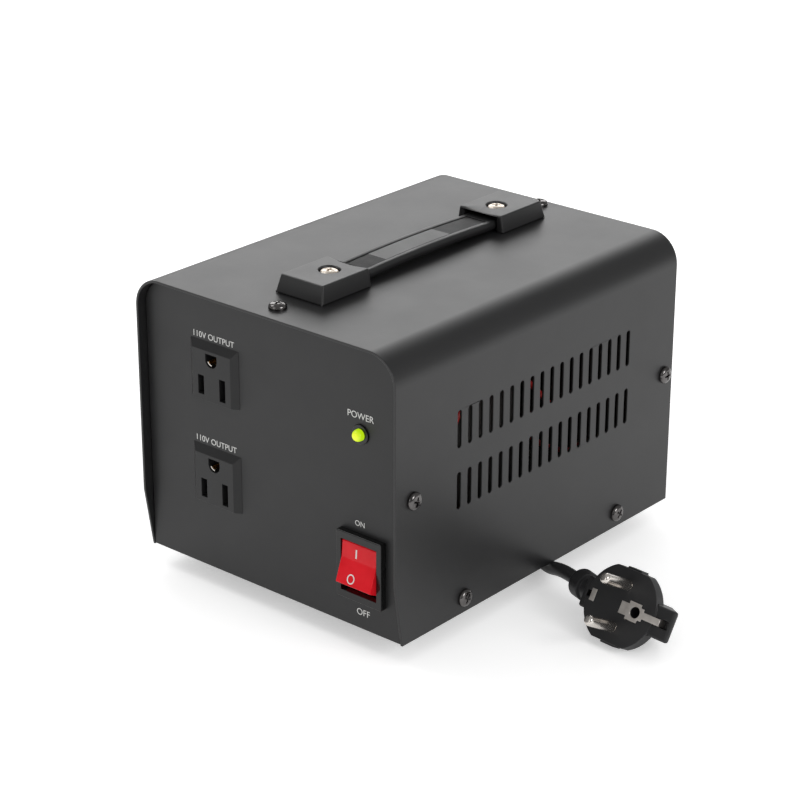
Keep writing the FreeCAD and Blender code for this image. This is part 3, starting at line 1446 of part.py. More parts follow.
def make_cord():
    relief_tip = (relief_x, rear_y + relief_out, relief_z)
    start, end = coil_ends()
    body, pins, clips, plug_end = make_plug()
    way = sleeve_direction()
    coil_in = start - coil_tangent(0) * coil_lead_in
    lead = [relief_tip] + lead_points + [tuple(coil_in), tuple(start)]
    plug_in = plug_end - way * plug_lead_in
    tail = [tuple(end)] + tail_points + [tuple(plug_in), tuple(plug_end)]
    print("lead route", [tuple(round(c, 1) for c in p) for p in lead])
    print("tail route", [tuple(round(c, 1) for c in p) for p in tail])
    lead_tube = make_tube(lead, cord_d / 2, "cord lead")
    tail_tube = make_tube(tail, cord_d / 2, "cord tail")
    return lead_tube, tail_tube, body, pins, clips


def build():
    nodes = {}
    nodes["cover"] = make_cover()
    nodes["base_pan"] = make_base_pan()
    nodes["front_panel"] = make_end_panel(-1, front_cutouts())
    nodes["rear_panel"] = make_end_panel(1, rear_cutouts())
    nodes["panel_rivets"] = make_rivets()
    nodes["side_screws"], nodes["top_screws"] = make_case_screws()
    nodes["feet"], nodes["foot_screws"], nodes["foot_nuts"] = make_feet()
    nodes["handle_cap_front"] = make_handle_cap(-1)
    nodes["handle_cap_rear"] = make_handle_cap(1)
    nodes["handle_screws"], nodes["handle_nuts"] = make_handle_fixings()
    nodes["strap_end_front"] = make_strap_end(-1)
    nodes["strap_arm_front"] = make_strap_arm(-1)
    nodes["strap_middle"] = make_strap_middle()
    nodes["strap_arm_rear"] = make_strap_arm(1)
    nodes["strap_end_rear"] = make_strap_end(1)
    for name, z in zip(("socket_lower", "socket_upper"), socket_heights()):
        nodes[name] = make_socket(z)
        nodes[name + "_contacts"] = make_socket_contacts(z)
    nodes["lamp_lens"], nodes["lamp_bezel"], nodes["lamp_nut"] = make_lamp()
    nodes["switch_housing"], neon_floor = make_switch_housing()
    nodes["switch_rocker"] = make_rocker()
    nodes["switch_neon"], nodes["switch_terminals"] = make_switch_inner(neon_floor)
    nodes["transformer_core"] = make_core()
    bobbin, primary, secondary, tape = make_windings()
    nodes["transformer_bobbin"] = bobbin
    nodes["primary_winding"] = primary
    nodes["secondary_winding"] = secondary
    nodes["winding_tape"] = tape
    brackets, bolts, nuts, floor_screws = make_transformer_fixings()
    nodes["transformer_brackets"] = brackets
    nodes["transformer_bolts"] = bolts
    nodes["transformer_nuts"] = nuts
    nodes["bracket_screws"] = floor_screws
    body, button, ring, blades = make_breaker()
    nodes["breaker_body"] = body
    nodes["breaker_button"] = button
    nodes["breaker_nut"] = ring
    nodes["breaker_terminals"] = blades
    nodes["earth_stud"], nodes["earth_tags"] = make_earth_stud()
    nodes["red_wires"], nodes["black_wires"], nodes["earth_wires"], nodes["lamp_wires"] = make_wires()
    nodes["strain_relief"] = make_strain_relief()
    nodes["cord_coil"] = make_coil()
    nodes["coil_tie"] = make_tie()
    lead, tail, plug_body, plug_pins, plug_clips = make_cord()
    nodes["cord_lead"] = lead
    nodes["cord_tail"] = tail
    nodes["plug_body"] = plug_body
    nodes["plug_pins"] = plug_pins
    nodes["plug_earth_clips"] = plug_clips
    return nodes


os.makedirs("parts", exist_ok=True)
for name, shape in build().items():
    solids = shape.Solids
    bounds = shape.BoundBox
    print("%-22s solids %2d valid %s volume %10.1f z %7.2f to %7.2f" %
          (name, len(solids), shape.isValid(), shape.Volume, bounds.ZMin, bounds.ZMax))
    shape.exportStep("parts/%s.step" % name)
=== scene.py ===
import math

import bmesh
import bpy
from mathutils import Matrix, Vector


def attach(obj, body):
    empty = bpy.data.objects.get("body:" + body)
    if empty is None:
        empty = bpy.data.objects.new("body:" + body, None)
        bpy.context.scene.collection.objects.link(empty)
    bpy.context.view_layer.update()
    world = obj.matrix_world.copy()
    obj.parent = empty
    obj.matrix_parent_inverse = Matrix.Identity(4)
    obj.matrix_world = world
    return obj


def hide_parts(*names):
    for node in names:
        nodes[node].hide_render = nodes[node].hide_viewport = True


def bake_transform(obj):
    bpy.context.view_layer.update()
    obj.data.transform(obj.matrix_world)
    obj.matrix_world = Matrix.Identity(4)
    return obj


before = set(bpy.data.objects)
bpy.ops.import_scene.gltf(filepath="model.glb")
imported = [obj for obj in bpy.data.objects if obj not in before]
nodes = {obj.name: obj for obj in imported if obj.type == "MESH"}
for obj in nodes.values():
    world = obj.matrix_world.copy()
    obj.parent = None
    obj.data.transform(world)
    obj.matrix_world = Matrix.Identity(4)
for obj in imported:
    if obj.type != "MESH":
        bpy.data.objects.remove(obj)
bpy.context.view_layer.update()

scene = bpy.context.scene
scene.view_settings.view_transform = "Standard"

# camera, from the photograph's own perspective
view = {
    "lens": 110.05,
    "place": (0.6585, -0.7805, 0.5070),
    "azimuth": 40.54,
    "elevation": 23.14,
    "roll": 0.158,
    "clip": (0.05, 20),
}


def linkObject(piece):
    scene.collection.objects.link(piece)
    return piece


def aimCamera(settings):
    a = math.radians(settings["azimuth"])
    e = math.radians(settings["elevation"])
    r = math.radians(settings["roll"])
    back = Vector((math.sin(a) * math.cos(e), -math.cos(a) * math.cos(e), math.sin(e)))
    across = Vector((math.cos(a), math.sin(a), 0))
    up = back.cross(across)
    right = across * math.cos(r) + up * math.sin(r)
    over = up * math.cos(r) - across * math.sin(r)
    camera = linkObject(bpy.data.objects.new("camera", bpy.data.cameras.new("camera")))
    camera.data.lens = settings["lens"]
    camera.data.clip_start, camera.data.clip_end = settings["clip"]
    turn = Matrix((right, over, back)).transposed().to_4x4()
    camera.matrix_world = Matrix.Translation(settings["place"]) @ turn
    scene.camera = camera


aimCamera(view)
print("camera aimed")


# finishes: each one reads Object coordinates, which are the piece's own place in metres
def startFinish(name):
    finish = bpy.data.materials.new(name)
    finish.use_nodes = True
    tree = finish.node_tree
    shader = tree.nodes["Principled BSDF"]
    spot = tree.nodes.new("ShaderNodeTexCoord").outputs["Object"]
    return finish, tree, shader, spot


def stretched(tree, spot, scale):
    mapping = tree.nodes.new("ShaderNodeMapping")
    mapping.inputs["Scale"].default_value = scale
    tree.links.new(spot, mapping.inputs["Vector"])
    return mapping.outputs["Vector"]


def cloudy(tree, spot, scale, detail=3.0, rough=0.55):
    noise = tree.nodes.new("ShaderNodeTexNoise")
    noise.inputs["Scale"].default_value = scale
    noise.inputs["Detail"].default_value = detail
    noise.inputs["Roughness"].default_value = rough
    tree.links.new(spot, noise.inputs["Vector"])
    return noise.outputs["Fac"]


def ranged(tree, source, low, high, fromLow=0.3, fromHigh=0.7):
    spread = tree.nodes.new("ShaderNodeMapRange")
    spread.inputs["From Min"].default_value = fromLow
    spread.inputs["From Max"].default_value = fromHigh
    spread.inputs["To Min"].default_value = low
    spread.inputs["To Max"].default_value = high
    tree.links.new(source, spread.inputs["Value"])
    return spread.outputs["Result"]


def blended(tree, factor, first, second):
    mix = tree.nodes.new("ShaderNodeMix")
    mix.data_type = "RGBA"
    tree.links.new(factor, mix.inputs["Factor"])
    mix.inputs["A"].default_value = (*first, 1)
    mix.inputs["B"].default_value = (*second, 1)
    return mix.outputs["Result"]


def raised(tree, shader, height, strength, distance, under=None):
    bump = tree.nodes.new("ShaderNodeBump")
    bump.inputs["Strength"].default_value = strength
    bump.inputs["Distance"].default_value = distance
    tree.links.new(height, bump.inputs["Height"])
    if under is not None:
        tree.links.new(under, bump.inputs["Normal"])
    tree.links.new(bump.outputs["Normal"], shader.inputs["Normal"])
    return bump.outputs["Normal"]


# surface patterns: scales per metre and strengths, with the wide grain as a share of the fine one
patterns = {
    "coatTone": 28,
    "coatSheen": 60,
    "wideGrain": 0.35,
    "wideStrength": 0.35,
    "fineStrength": 0.6,
    "metalGrain": 400,
    "metalDepth": 0.00004,
    "stripeSheen": 90,
    "stripeWaver": 0.6,
    "stripeWaverScale": 3.0,
    "stripeStrength": 0.8,
}


def coatedFinish(name, dark, light, rough, grainSize, grainDepth, shine):
    # paint or moulded plastic: cloudy tone, uneven sheen and a fine orange-peel grain
    finish, tree, shader, spot = startFinish(name)
    tone = ranged(tree, cloudy(tree, spot, patterns["coatTone"], 4), 0, 1)
    tree.links.new(blended(tree, tone, dark, light), shader.inputs["Base Color"])
    sheen = ranged(tree, cloudy(tree, spot, patterns["coatSheen"], 5, 0.6), *rough)
    tree.links.new(sheen, shader.inputs["Roughness"])
    wide = cloudy(tree, spot, patterns["wideGrain"] / grainSize, 2)
    fine = cloudy(tree, spot, 1 / grainSize, 2, 0.7)
    under = raised(tree, shader, wide, patterns["wideStrength"], grainDepth)
    raised(tree, shader, fine, patterns["fineStrength"], grainDepth, under)
    shader.inputs["Specular IOR Level"].default_value = shine
    return finish


def metalFinish(name, dark, light, rough, scratch):
    # plated or bare metal: a fine uneven tone and sheen
    finish, tree, shader, spot = startFinish(name)
    streaks = cloudy(tree, spot, patterns["metalGrain"], 6, 0.65)
    tree.links.new(blended(tree, ranged(tree, streaks, 0, 1), dark, light), shader.inputs["Base Color"])
    tree.links.new(ranged(tree, streaks, *rough), shader.inputs["Roughness"])
    raised(tree, shader, streaks, scratch, patterns["metalDepth"])
    shader.inputs["Metallic"].default_value = 1.0
    return finish


def stripedFinish(name, first, second, rough, scale, axis, depth, metal):
    # turns of wire, edges of laminations or a two-colour sleeve
    finish, tree, shader, spot = startFinish(name)
    wave = tree.nodes.new("ShaderNodeTexWave")
    wave.bands_direction = axis
    wave.inputs["Scale"].default_value = scale
    wave.inputs["Distortion"].default_value = patterns["stripeWaver"]
    wave.inputs["Detail Scale"].default_value = patterns["stripeWaverScale"]
    tree.links.new(spot, wave.inputs["Vector"])
    tone = ranged(tree, wave.outputs["Fac"], 0, 1, 0.1, 0.9)
    tree.links.new(blended(tree, tone, first, second), shader.inputs["Base Color"])
    sheen = ranged(tree, cloudy(tree, spot, patterns["stripeSheen"], 4), *rough)
    tree.links.new(sheen, shader.inputs["Roughness"])
    raised(tree, shader, wave.outputs["Fac"], patterns["stripeStrength"], depth)
    shader.inputs["Metallic"].default_value = metal
    return finish


# coats: dark and light tone, least and most roughness, grain's size and depth, shine
coats = {
    "casePaint": ((0.0095, 0.0095, 0.010), (0.0115, 0.0115, 0.012), (0.405, 0.435), 0.0005, 0.00002, 0.6),
    "panelPaint": ((0.0115, 0.0115, 0.012), (0.0135, 0.0135, 0.014), (0.42, 0.47), 0.0004, 0.00002, 0.5),
    "capPlastic": ((0.0095, 0.0095, 0.010), (0.0115, 0.0115, 0.012), (0.40, 0.45), 0.0003, 0.00002, 0.75),
    "strapVinyl": ((0.0095, 0.0095, 0.010), (0.012, 0.012, 0.0125), (0.40, 0.47), 0.0006, 0.00002, 0.54),
    "strapPatch": ((0.008, 0.008, 0.0085), (0.012, 0.012, 0.0125), (0.52, 0.66), 0.0004, 0.00005, 0.3),
    "outletPlastic": ((0.015, 0.015, 0.0155), (0.019, 0.019, 0.0195), (0.34, 0.42), 0.0003, 0.00001, 0.36),
    "glossBlack": ((0.006, 0.006, 0.006), (0.009, 0.009, 0.009), (0.18, 0.26), 0.0006, 0.000008, 0.5),
    "footRubber": ((0.012, 0.012, 0.012), (0.020, 0.020, 0.020), (0.60, 0.75), 0.0005, 0.00003, 0.3),
    "cordVinyl": ((0.019, 0.019, 0.020), (0.028, 0.028, 0.029), (0.32, 0.42), 0.0007, 0.00002, 0.5),
    "plugVinyl": ((0.014, 0.014, 0.015), (0.020, 0.020, 0.021), (0.38, 0.48), 0.0003, 0.00002, 0.45),
    "tieWeave": ((0.012, 0.012, 0.012), (0.022, 0.022, 0.022), (0.65, 0.80), 0.0008, 0.00006, 0.3),
    "bobbinNylon": ((0.55, 0.51, 0.40), (0.66, 0.62, 0.50), (0.45, 0.55), 0.0006, 0.00002, 0.5),
    "buttonWhite": ((0.62, 0.61, 0.57), (0.70, 0.69, 0.66), (0.30, 0.40), 0.0004, 0.00001, 0.5),
    "breakerBlack": ((0.014, 0.014, 0.014), (0.022, 0.022, 0.022), (0.42, 0.52), 0.0004, 0.00002, 0.4),
    "redSleeve": ((0.45, 0.012, 0.012), (0.60, 0.030, 0.025), (0.35, 0.45), 0.0008, 0.00001, 0.5),
    "blackSleeve": ((0.012, 0.012, 0.012), (0.022, 0.022, 0.022), (0.35, 0.45), 0.0008, 0.00001, 0.5),
    "markWhite": ((0.72, 0.72, 0.70), (0.80, 0.80, 0.78), (0.45, 0.55), 0.0003, 0.000005, 0.4),
}
# metals: dark and light tone, least and most roughness, strength of the scratches
metals = {
    "darkNickel": ((0.10, 0.096, 0.095), (0.20, 0.19, 0.187), (0.14, 0.24), 0.12),
    "brightNickel": ((0.58, 0.55, 0.51), (0.72, 0.68, 0.63), (0.14, 0.26), 0.12),
    "satinNickel": ((0.78, 0.70, 0.61), (0.86, 0.78, 0.69), (0.36, 0.46), 0.05),
    "pinNickel": ((0.80, 0.75, 0.70), (0.88, 0.84, 0.79), (0.20, 0.28), 0.03),
    "zincPlate": ((0.52, 0.51, 0.47), (0.64, 0.63, 0.58), (0.30, 0.42), 0.2),
    "clipBrass": ((0.58, 0.42, 0.20), (0.72, 0.54, 0.28), (0.26, 0.38), 0.2),
    "earthPlate": ((0.80, 0.75, 0.70), (0.90, 0.85, 0.80), (0.34, 0.44), 0.08),
}
# stripes: two tones, least and most roughness, stripes' scale, axis and depth, share of metal
stripes = {
    "coreLayers": ((0.045, 0.043, 0.042), (0.12, 0.115, 0.11), (0.40, 0.55), 1000, "Y", 0.0001, 0.7),
    "copperTurns": ((0.35, 0.13, 0.05), (0.72, 0.36, 0.18), (0.24, 0.34), 560, "Z", 0.0003, 1.0),
    "amberTape": ((0.55, 0.33, 0.04), (0.68, 0.44, 0.07), (0.20, 0.32), 60, "Z", 0.00008, 0.0),
    "earthSleeve": ((0.10, 0.32, 0.03), (0.70, 0.62, 0.03), (0.35, 0.45), 110, "DIAGONAL", 0.00002, 0.0),
}
finishes = {name: coatedFinish(name, *values) for name, values in coats.items()}
finishes.update({name: metalFinish(name, *values) for name, values in metals.items()})
finishes.update({name: stripedFinish(name, *values) for name, values in stripes.items()})

rockerShell = {
    "dark": (0.52, 0.004, 0.010),
    "light": (0.62, 0.010, 0.018),
    "rough": (0.14, 0.24),
    "ripple": 0.00002,
    "shine": 0.22,
    "coat": 0.05,
    "coatRough": 0.08,
    "glow": (0.9, 0.01, 0.02, 1),
    "glowLevel": 0.12,
}


def rockerFinish(name):
    # clear red shell over a diffusing core: glossy, with a little light of its own
    finish, tree, shader, spot = startFinish(name)
    tone = ranged(tree, cloudy(tree, spot, 90, 3), 0, 1)
    colour = blended(tree, tone, rockerShell["dark"], rockerShell["light"])
    tree.links.new(colour, shader.inputs["Base Color"])
    sheen = ranged(tree, cloudy(tree, spot, 240, 4), *rockerShell["rough"])
    tree.links.new(sheen, shader.inputs["Roughness"])
    raised(tree, shader, cloudy(tree, spot, 500, 2), 0.15, rockerShell["ripple"])
    shader.inputs["Specular IOR Level"].default_value = rockerShell["shine"]
    shader.inputs["Coat Weight"].default_value = rockerShell["coat"]
    shader.inputs["Coat Roughness"].default_value = rockerShell["coatRough"]
    shader.inputs["Emission Color"].default_value = rockerShell["glow"]
    shader.inputs["Emission Strength"].default_value = rockerShell["glowLevel"]
    return finish


lampGlow = {
    "middle": (0.0518, 0, 0.1008),
    "fade": (0.0013, 0.0029),
    "bright": (0.88, 0.96, 0.035),
    "rim": (0.40, 0.70, 0.0),
    "level": 0.92,
    "body": (0.05, 0.09, 0.002, 1),
    "rough": (0.1, 0.2),
}


def lampFinish(name):
    # lit lens: bright in the middle, greener towards its rim
    finish, tree, shader, spot = startFinish(name)
    ringed = stretched(tree, spot, (1, 0, 1))
    ringed.node.inputs["Location"].default_value = [-c for c in lampGlow["middle"]]
    reach = tree.nodes.new("ShaderNodeVectorMath")
    reach.operation = "LENGTH"
    tree.links.new(ringed, reach.inputs[0])
    fade = ranged(tree, reach.outputs["Value"], 0, 1, *lampGlow["fade"])
    glow = blended(tree, fade, lampGlow["bright"], lampGlow["rim"])
    tree.links.new(glow, shader.inputs["Emission Color"])
    sheen = ranged(tree, cloudy(tree, spot, 300, 3), *lampGlow["rough"])
    tree.links.new(sheen, shader.inputs["Roughness"])
    shader.inputs["Base Color"].default_value = lampGlow["body"]
    shader.inputs["Emission Strength"].default_value = lampGlow["level"]
    return finish


finishes["rockerRed"] = rockerFinish("rockerRed")
finishes["lampGreen"] = lampFinish("lampGreen")
print("finishes made:", len(finishes))


# cord: one smooth line through the route, the coil's turns and the run to the plug
cord = {
    "diameter": 0.0062,
    "length": 1.579,
    "lead": [
        (0.0, 0.1267, 0.034),
        (0.0, 0.145, 0.034),
        (-0.004, 0.163, 0.0305),
        (-0.0135, 0.181, 0.024),
        (-0.028, 0.1975, 0.0165),
        (-0.0488, 0.207, 0.0104),
    ],
    "tail": [
        (-0.0645, 0.1103, 0.0035),
        (-0.043, 0.100, 0.00315),
        (-0.021, 0.0855, 0.00315),
        (0.001, 0.0685, 0.00315),
        (0.019, 0.0515, 0.00315),
        (0.0345, 0.0365, 0.00315),
        (0.050, 0.0235, 0.00315),
        (0.0685, 0.0120, 0.0037),
        (0.0853, 0.0016, 0.0122),
        (0.0975, -0.0038, 0.0131),
    ],
}
coil = {
    "middle": (-0.075, 0.162),
    "outside": 0.045,
    "turnStep": 0.00685,
    "layerStep": 0.0068,
    "lowZ": 0.0036,
    "startTurn": 90,
    "turns": 5 + 160 / 360,
    "perTurn": 16,
}


def coilPoint(turn, cover):
    # in on the upper layer, out on the lower one, climbing in the half turn where it reverses
    half = coil["turns"] / 2
    radius = (coil["outside"] - coil["turnStep"] * (half - abs(turn - half))) * cover
    climb = min(max((turn - half) * 2 + 0.5, 0), 1)
    height = coil["lowZ"] + coil["layerStep"] * (1 - climb)
    a = math.radians(coil["startTurn"] + 360 * turn)
    x, y = coil["middle"]
    return (x + radius * math.cos(a), y + radius * math.sin(a), height)


def layCord():
    count = round(coil["turns"] * coil["perTurn"])
    cover = 1 / math.cos(math.pi / coil["perTurn"])
    turns = [coilPoint(coil["turns"] * k / count, cover) for k in range(count + 1)]
    route = cord["lead"] + turns + cord["tail"]
    line = bpy.data.curves.new("mainsCord", "CURVE")
    line.dimensions = "3D"
    line.bevel_depth = cord["diameter"] / 2
    line.bevel_resolution = 6
    line.resolution_u = 6
    line.use_fill_caps = True
    spline = line.splines.new("NURBS")
    spline.points.add(len(route) - 1)
    for point, place in zip(spline.points, route):
        point.co = (*place, 1)
    spline.order_u = 3
    spline.use_endpoint_u = True
    line.materials.append(finishes["cordVinyl"])
    piece = linkObject(bpy.data.objects.new("mainsCord", line))
    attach(piece, "case")
    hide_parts("cord_lead", "cord_coil", "cord_tail")
    return piece


mainsCord = layCord()
print("cord laid")


# lights and ground
lights = {
    "back": {"place": (-1.15, 1.35, 0.95), "aim": (0, 0, 0.12), "size": (2.0, 0.9), "power": 14},
    "over": {"place": (-1.25, -0.45, 1.65), "aim": (0, 0, 0.10), "size": (0.8, 0.8), "power": 6},
    "front": {"place": (-0.2, -2.2, 1.0), "aim": (0, 0, 0.08), "size": (0.9, 0.9), "power": 4.5},
    "side": {"place": (2.0, -0.1, 1.1), "aim": (0, 0, 0.08), "size": (0.9, 0.9), "power": 15},
}
surround = {"light": 0.62, "mirrored": 0.30, "seen": 1.0}
ground = {"reach": 6.0, "tone": 0.93, "rough": 0.9, "shine": 0.1, "seen": 0.40, "mirrored": 0.16}


def hangLight(name, settings):
    lamp = bpy.data.lights.new(name, "AREA")
    lamp.shape = "RECTANGLE"
    lamp.size, lamp.size_y = settings["size"]
    lamp.energy = settings["power"]
    piece = linkObject(bpy.data.objects.new(name, lamp))
    place = Vector(settings["place"])
    towards = (Vector(settings["aim"]) - place).to_track_quat("-Z", "Y").to_matrix().to_4x4()
    piece.matrix_world = Matrix.Translation(place) @ towards


def lightWorld():
    # one level lights the scene, a lower one is mirrored by the black paint and the camera sees white
    world = bpy.data.worlds.new("studio")
    world.use_nodes = True
    tree = world.node_tree
    shade = tree.nodes["Background"]
    shade.inputs["Color"].default_value = (1, 1, 1, 1)
    ray = tree.nodes.new("ShaderNodeLightPath")

    def stepped(factor, below, above):
        level = tree.nodes.new("ShaderNodeMix")
        tree.links.new(factor, level.inputs["Factor"])
        if isinstance(below, float):
            level.inputs["A"].default_value = below
        else:
            tree.links.new(below, level.inputs["A"])
        level.inputs["B"].default_value = above
        return level.outputs["Result"]

    level = stepped(ray.outputs["Is Glossy Ray"], surround["light"], surround["mirrored"])
    level = stepped(ray.outputs["Is Transmission Ray"], level, surround["seen"])
    level = stepped(ray.outputs["Is Camera Ray"], level, surround["seen"])
    tree.links.new(level, shade.inputs["Strength"])
    scene.world = world


def layFloor():
    # white paper: its extra glow is only for what the camera or a mirroring surface sees of it
    mesh = bpy.data.meshes.new("studioFloor")
    reach = ground["reach"]
    mesh.from_pydata([(-reach, -reach, 0), (reach, -reach, 0), (reach, reach, 0), (-reach, reach, 0)],
                     [], [(0, 1, 2, 3)])
    piece = linkObject(bpy.data.objects.new("studioFloor", mesh))
    finish, tree, shader, spot = startFinish("floorWhite")
    shader.inputs["Base Color"].default_value = (ground["tone"], ground["tone"], ground["tone"], 1)
    shader.inputs["Roughness"].default_value = ground["rough"]
    shader.inputs["Specular IOR Level"].default_value = ground["shine"]
    shader.inputs["Emission Color"].default_value = (1, 1, 1, 1)
    ray = tree.nodes.new("ShaderNodeLightPath")
    seen = tree.nodes.new("ShaderNodeMath")
    seen.operation = "MULTIPLY"
    seen.inputs[1].default_value = ground["seen"]
    tree.links.new(ray.outputs["Is Camera Ray"], seen.inputs[0])
    mirrored = tree.nodes.new("ShaderNodeMath")
    mirrored.operation = "MULTIPLY_ADD"
    mirrored.inputs[1].default_value = ground["mirrored"]
    tree.links.new(ray.outputs["Is Glossy Ray"], mirrored.inputs[0])
    tree.links.new(seen.outputs[0], mirrored.inputs[2])
    tree.links.new(mirrored.outputs[0], shader.inputs["Emission Strength"])
    mesh.materials.append(finish)


for name, settings in lights.items():
    hangLight(name, settings)
lightWorld()
layFloor()
print("lights hung")


# softened copies: a CAD shape with its joined faces merged and its edges rounded
merging = {"apart": 1e-6, "flat": 0.8}


def mergedShape(nodeName):
    shape = bmesh.new()
    shape.from_mesh(nodes[nodeName].data)
    bmesh.ops.remove_doubles(shape, verts=shape.verts, dist=merging["apart"])
    flat = math.radians(merging["flat"])
    bmesh.ops.dissolve_limit(shape, angle_limit=flat, verts=shape.verts, edges=shape.edges)
    return shape


def softCopy(nodeName, pieceName, finish, edge, steps=2, corner=30, body="case"):
    shape = mergedShape(nodeName)
    mesh = bpy.data.meshes.new(pieceName)
    shape.to_mesh(mesh)
    shape.free()
    mesh.shade_smooth()
    mesh.materials.append(finishes[finish])
    piece = linkObject(bpy.data.objects.new(pieceName, mesh))
    rounding = piece.modifiers.new("edges", "BEVEL")
    rounding.width = edge
    rounding.segments = steps
    rounding.limit_method = "ANGLE"
    rounding.angle_limit = math.radians(corner)
    rounding.use_clamp_overlap = False
    even = piece.modifiers.new("even", "WEIGHTED_NORMAL")
    even.weight = 100
    even.keep_sharp = True
    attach(piece, body)
    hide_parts(nodeName)
    return piece


# node, piece, finish, slot and width of its rounded edges
softened = [
    ("cover", "caseCover", "casePaint", "case_paint", 0.00025),
    ("base_pan", "basePan", "panelPaint", "panel_paint", 0.00025),
    ("front_panel", "frontPanel", "panelPaint", "panel_paint", 0.00025),
    ("rear_panel", "rearPanel", "panelPaint", "panel_paint", 0.00025),
    ("feet", "rubberFeet", "footRubber", "foot_rubber", 0.0005),
    ("handle_cap_front", "frontCap", "capPlastic", "cap_plastic", 0.0008),
    ("handle_cap_rear", "rearCap", "capPlastic", "cap_plastic", 0.0008),
    ("socket_upper", "upperOutlet", "outletPlastic", "outlet_plastic", 0.0002),
    ("socket_lower", "lowerOutlet", "outletPlastic", "outlet_plastic", 0.0002),
    ("lamp_bezel", "lampRing", "glossBlack", "bezel_black", 0.00015),
    ("switch_housing", "switchFrame", "glossBlack", "bezel_black", 0.0002),
    ("strain_relief", "cordBush", "plugVinyl", "plug_black", 0.00025),
    ("plug_body", "plugShell", "plugVinyl", "plug_black", 0.0003),
    ("plug_pins", "plugPins", "pinNickel", "nickel", 0.0003),
    ("plug_earth_clips", "plugEarthClips", "earthPlate", "nickel", 0.00012),
    ("coil_tie", "cordTie", "tieWeave", "tie_black", 0.00015),
    ("breaker_body", "breakerBody", "breakerBlack", "breaker_plastic", 0.0003),
    ("breaker_nut", "breakerNut", "zincPlate", "zinc", 0.0002),
]
for nodeName, pieceName, finish, slotName, edge in softened:
    softCopy(nodeName, pieceName, finish, edge)
softCopy("switch_rocker", "rockerPaddle", "rockerRed", 0.0004, 3,
                                corner=12, body="switch_rocker")
softCopy("breaker_button", "resetButton", "buttonWhite", 0.0002,
                               body="breaker_button")


# CAD nodes that stay as they are, with a finish of their own
kept = {
    "panel_rivets": "zincPlate", "foot_screws": "zincPlate", "foot_nuts": "zincPlate",
    "handle_nuts": "zincPlate",
    "strap_end_front": "strapVinyl", "strap_end_rear": "strapVinyl",
    "socket_upper_contacts": "clipBrass", "socket_lower_contacts": "clipBrass",
    "lamp_lens": "lampGreen", "lamp_nut": "glossBlack",
    "switch_neon": "brightNickel", "switch_terminals": "clipBrass",
    "transformer_core": "coreLayers", "transformer_bobbin": "bobbinNylon",
    "primary_winding": "copperTurns", "secondary_winding": "copperTurns", "winding_tape": "amberTape",
    "transformer_brackets": "zincPlate", "transformer_bolts": "zincPlate", "transformer_nuts": "zincPlate",
    "bracket_screws": "zincPlate", "breaker_terminals": "clipBrass",
    "earth_stud": "zincPlate", "earth_tags": "zincPlate",
    "red_wires": "redSleeve", "black_wires": "blackSleeve", "earth_wires": "earthSleeve",
    "lamp_wires": "blackSleeve",
}
for nodeName, finish in kept.items():
    node = nodes[nodeName]
    for place in node.material_slots:
        place.material = finishes[finish]


# screws: one turned head with its cross recess, set at every place by a node tree
# sizes in millimetres, the profile as radius and height
screwShape = {
    "profile": [(0, -8.0), (1.6, -8.0), (2.0, -7.5), (2.0, 0), (4.0, 0), (4.05, 0.5), (3.95, 1.25),
                (3.5, 1.85), (2.6, 2.25), (1.3, 2.4), (0, 2.42)],
    "sides": 40,
    "crossLength": 4.8,
    "crossWidth": 0.95,
    "crossDepth": 1.5,
    "crossOver": 0.6,
    "crossTaper": (0.45, 1.1),
    "widthTaper": 0.25,
    "sharp": 34,
}


def turnedMesh(name, profile, sides):
    # spins (radius, height) millimetre points about Z
    shape = bmesh.new()
    rings = []
    for radius, height in profile:
        count = sides if radius else 1
        ring = [shape.verts.new((radius * math.cos(math.tau * k / count) / 1000,
                                 radius * math.sin(math.tau * k / count) / 1000, height / 1000))
                for k in range(count)]
        rings.append(ring)
    for low, high in zip(rings, rings[1:]):
        for k in range(sides):
            n = (k + 1) % sides
            if len(low) == 1:
                shape.faces.new((low[0], high[n], high[k]))
            elif len(high) == 1:
                shape.faces.new((low[k], low[n], high[0]))
            else:
                shape.faces.new((low[k], low[n], high[n], high[k]))
    bmesh.ops.recalc_face_normals(shape, faces=shape.faces)
    mesh = bpy.data.meshes.new(name)
    shape.to_mesh(mesh)
    shape.free()
    return mesh


def crossMesh(name):
    # two tapered bars crossing at right angles, sunk into the head
    top = screwShape["profile"][-1][1]
    heights = (top - screwShape["crossDepth"], top + screwShape["crossOver"])
    narrower = screwShape["widthTaper"]
    shape = bmesh.new()
    for turn in (0, math.pi / 2):
        corners = []
        for height, share in zip(heights, screwShape["crossTaper"]):
            for x, y in ((-1, -1), (1, -1), (1, 1), (-1, 1)):
                px = x * screwShape["crossLength"] / 2 * share
                py = y * screwShape["crossWidth"] / 2 * (1 - narrower + narrower * share)
                corners.append(shape.verts.new((
                    (px * math.cos(turn) - py * math.sin(turn)) / 1000,
                    (px * math.sin(turn) + py * math.cos(turn)) / 1000, height / 1000)))
        for face in ((3, 2, 1, 0), (4, 5, 6, 7), (0, 1, 5, 4), (1, 2, 6, 5), (2, 3, 7, 6), (3, 0, 4, 7)):
            shape.faces.new([corners[k] for k in face])
    mesh = bpy.data.meshes.new(name)
    shape.to_mesh(mesh)
    shape.free()
    return mesh


def baked(piece, name):
    # the evaluated shape as a plain mesh on an object of its own
    bpy.context.view_layer.update()
    graph = bpy.context.evaluated_depsgraph_get()
    mesh = bpy.data.meshes.new_from_object(piece.evaluated_get(graph))
    mesh.name = name
    bpy.data.objects.remove(piece)
    return linkObject(bpy.data.objects.new(name, mesh))


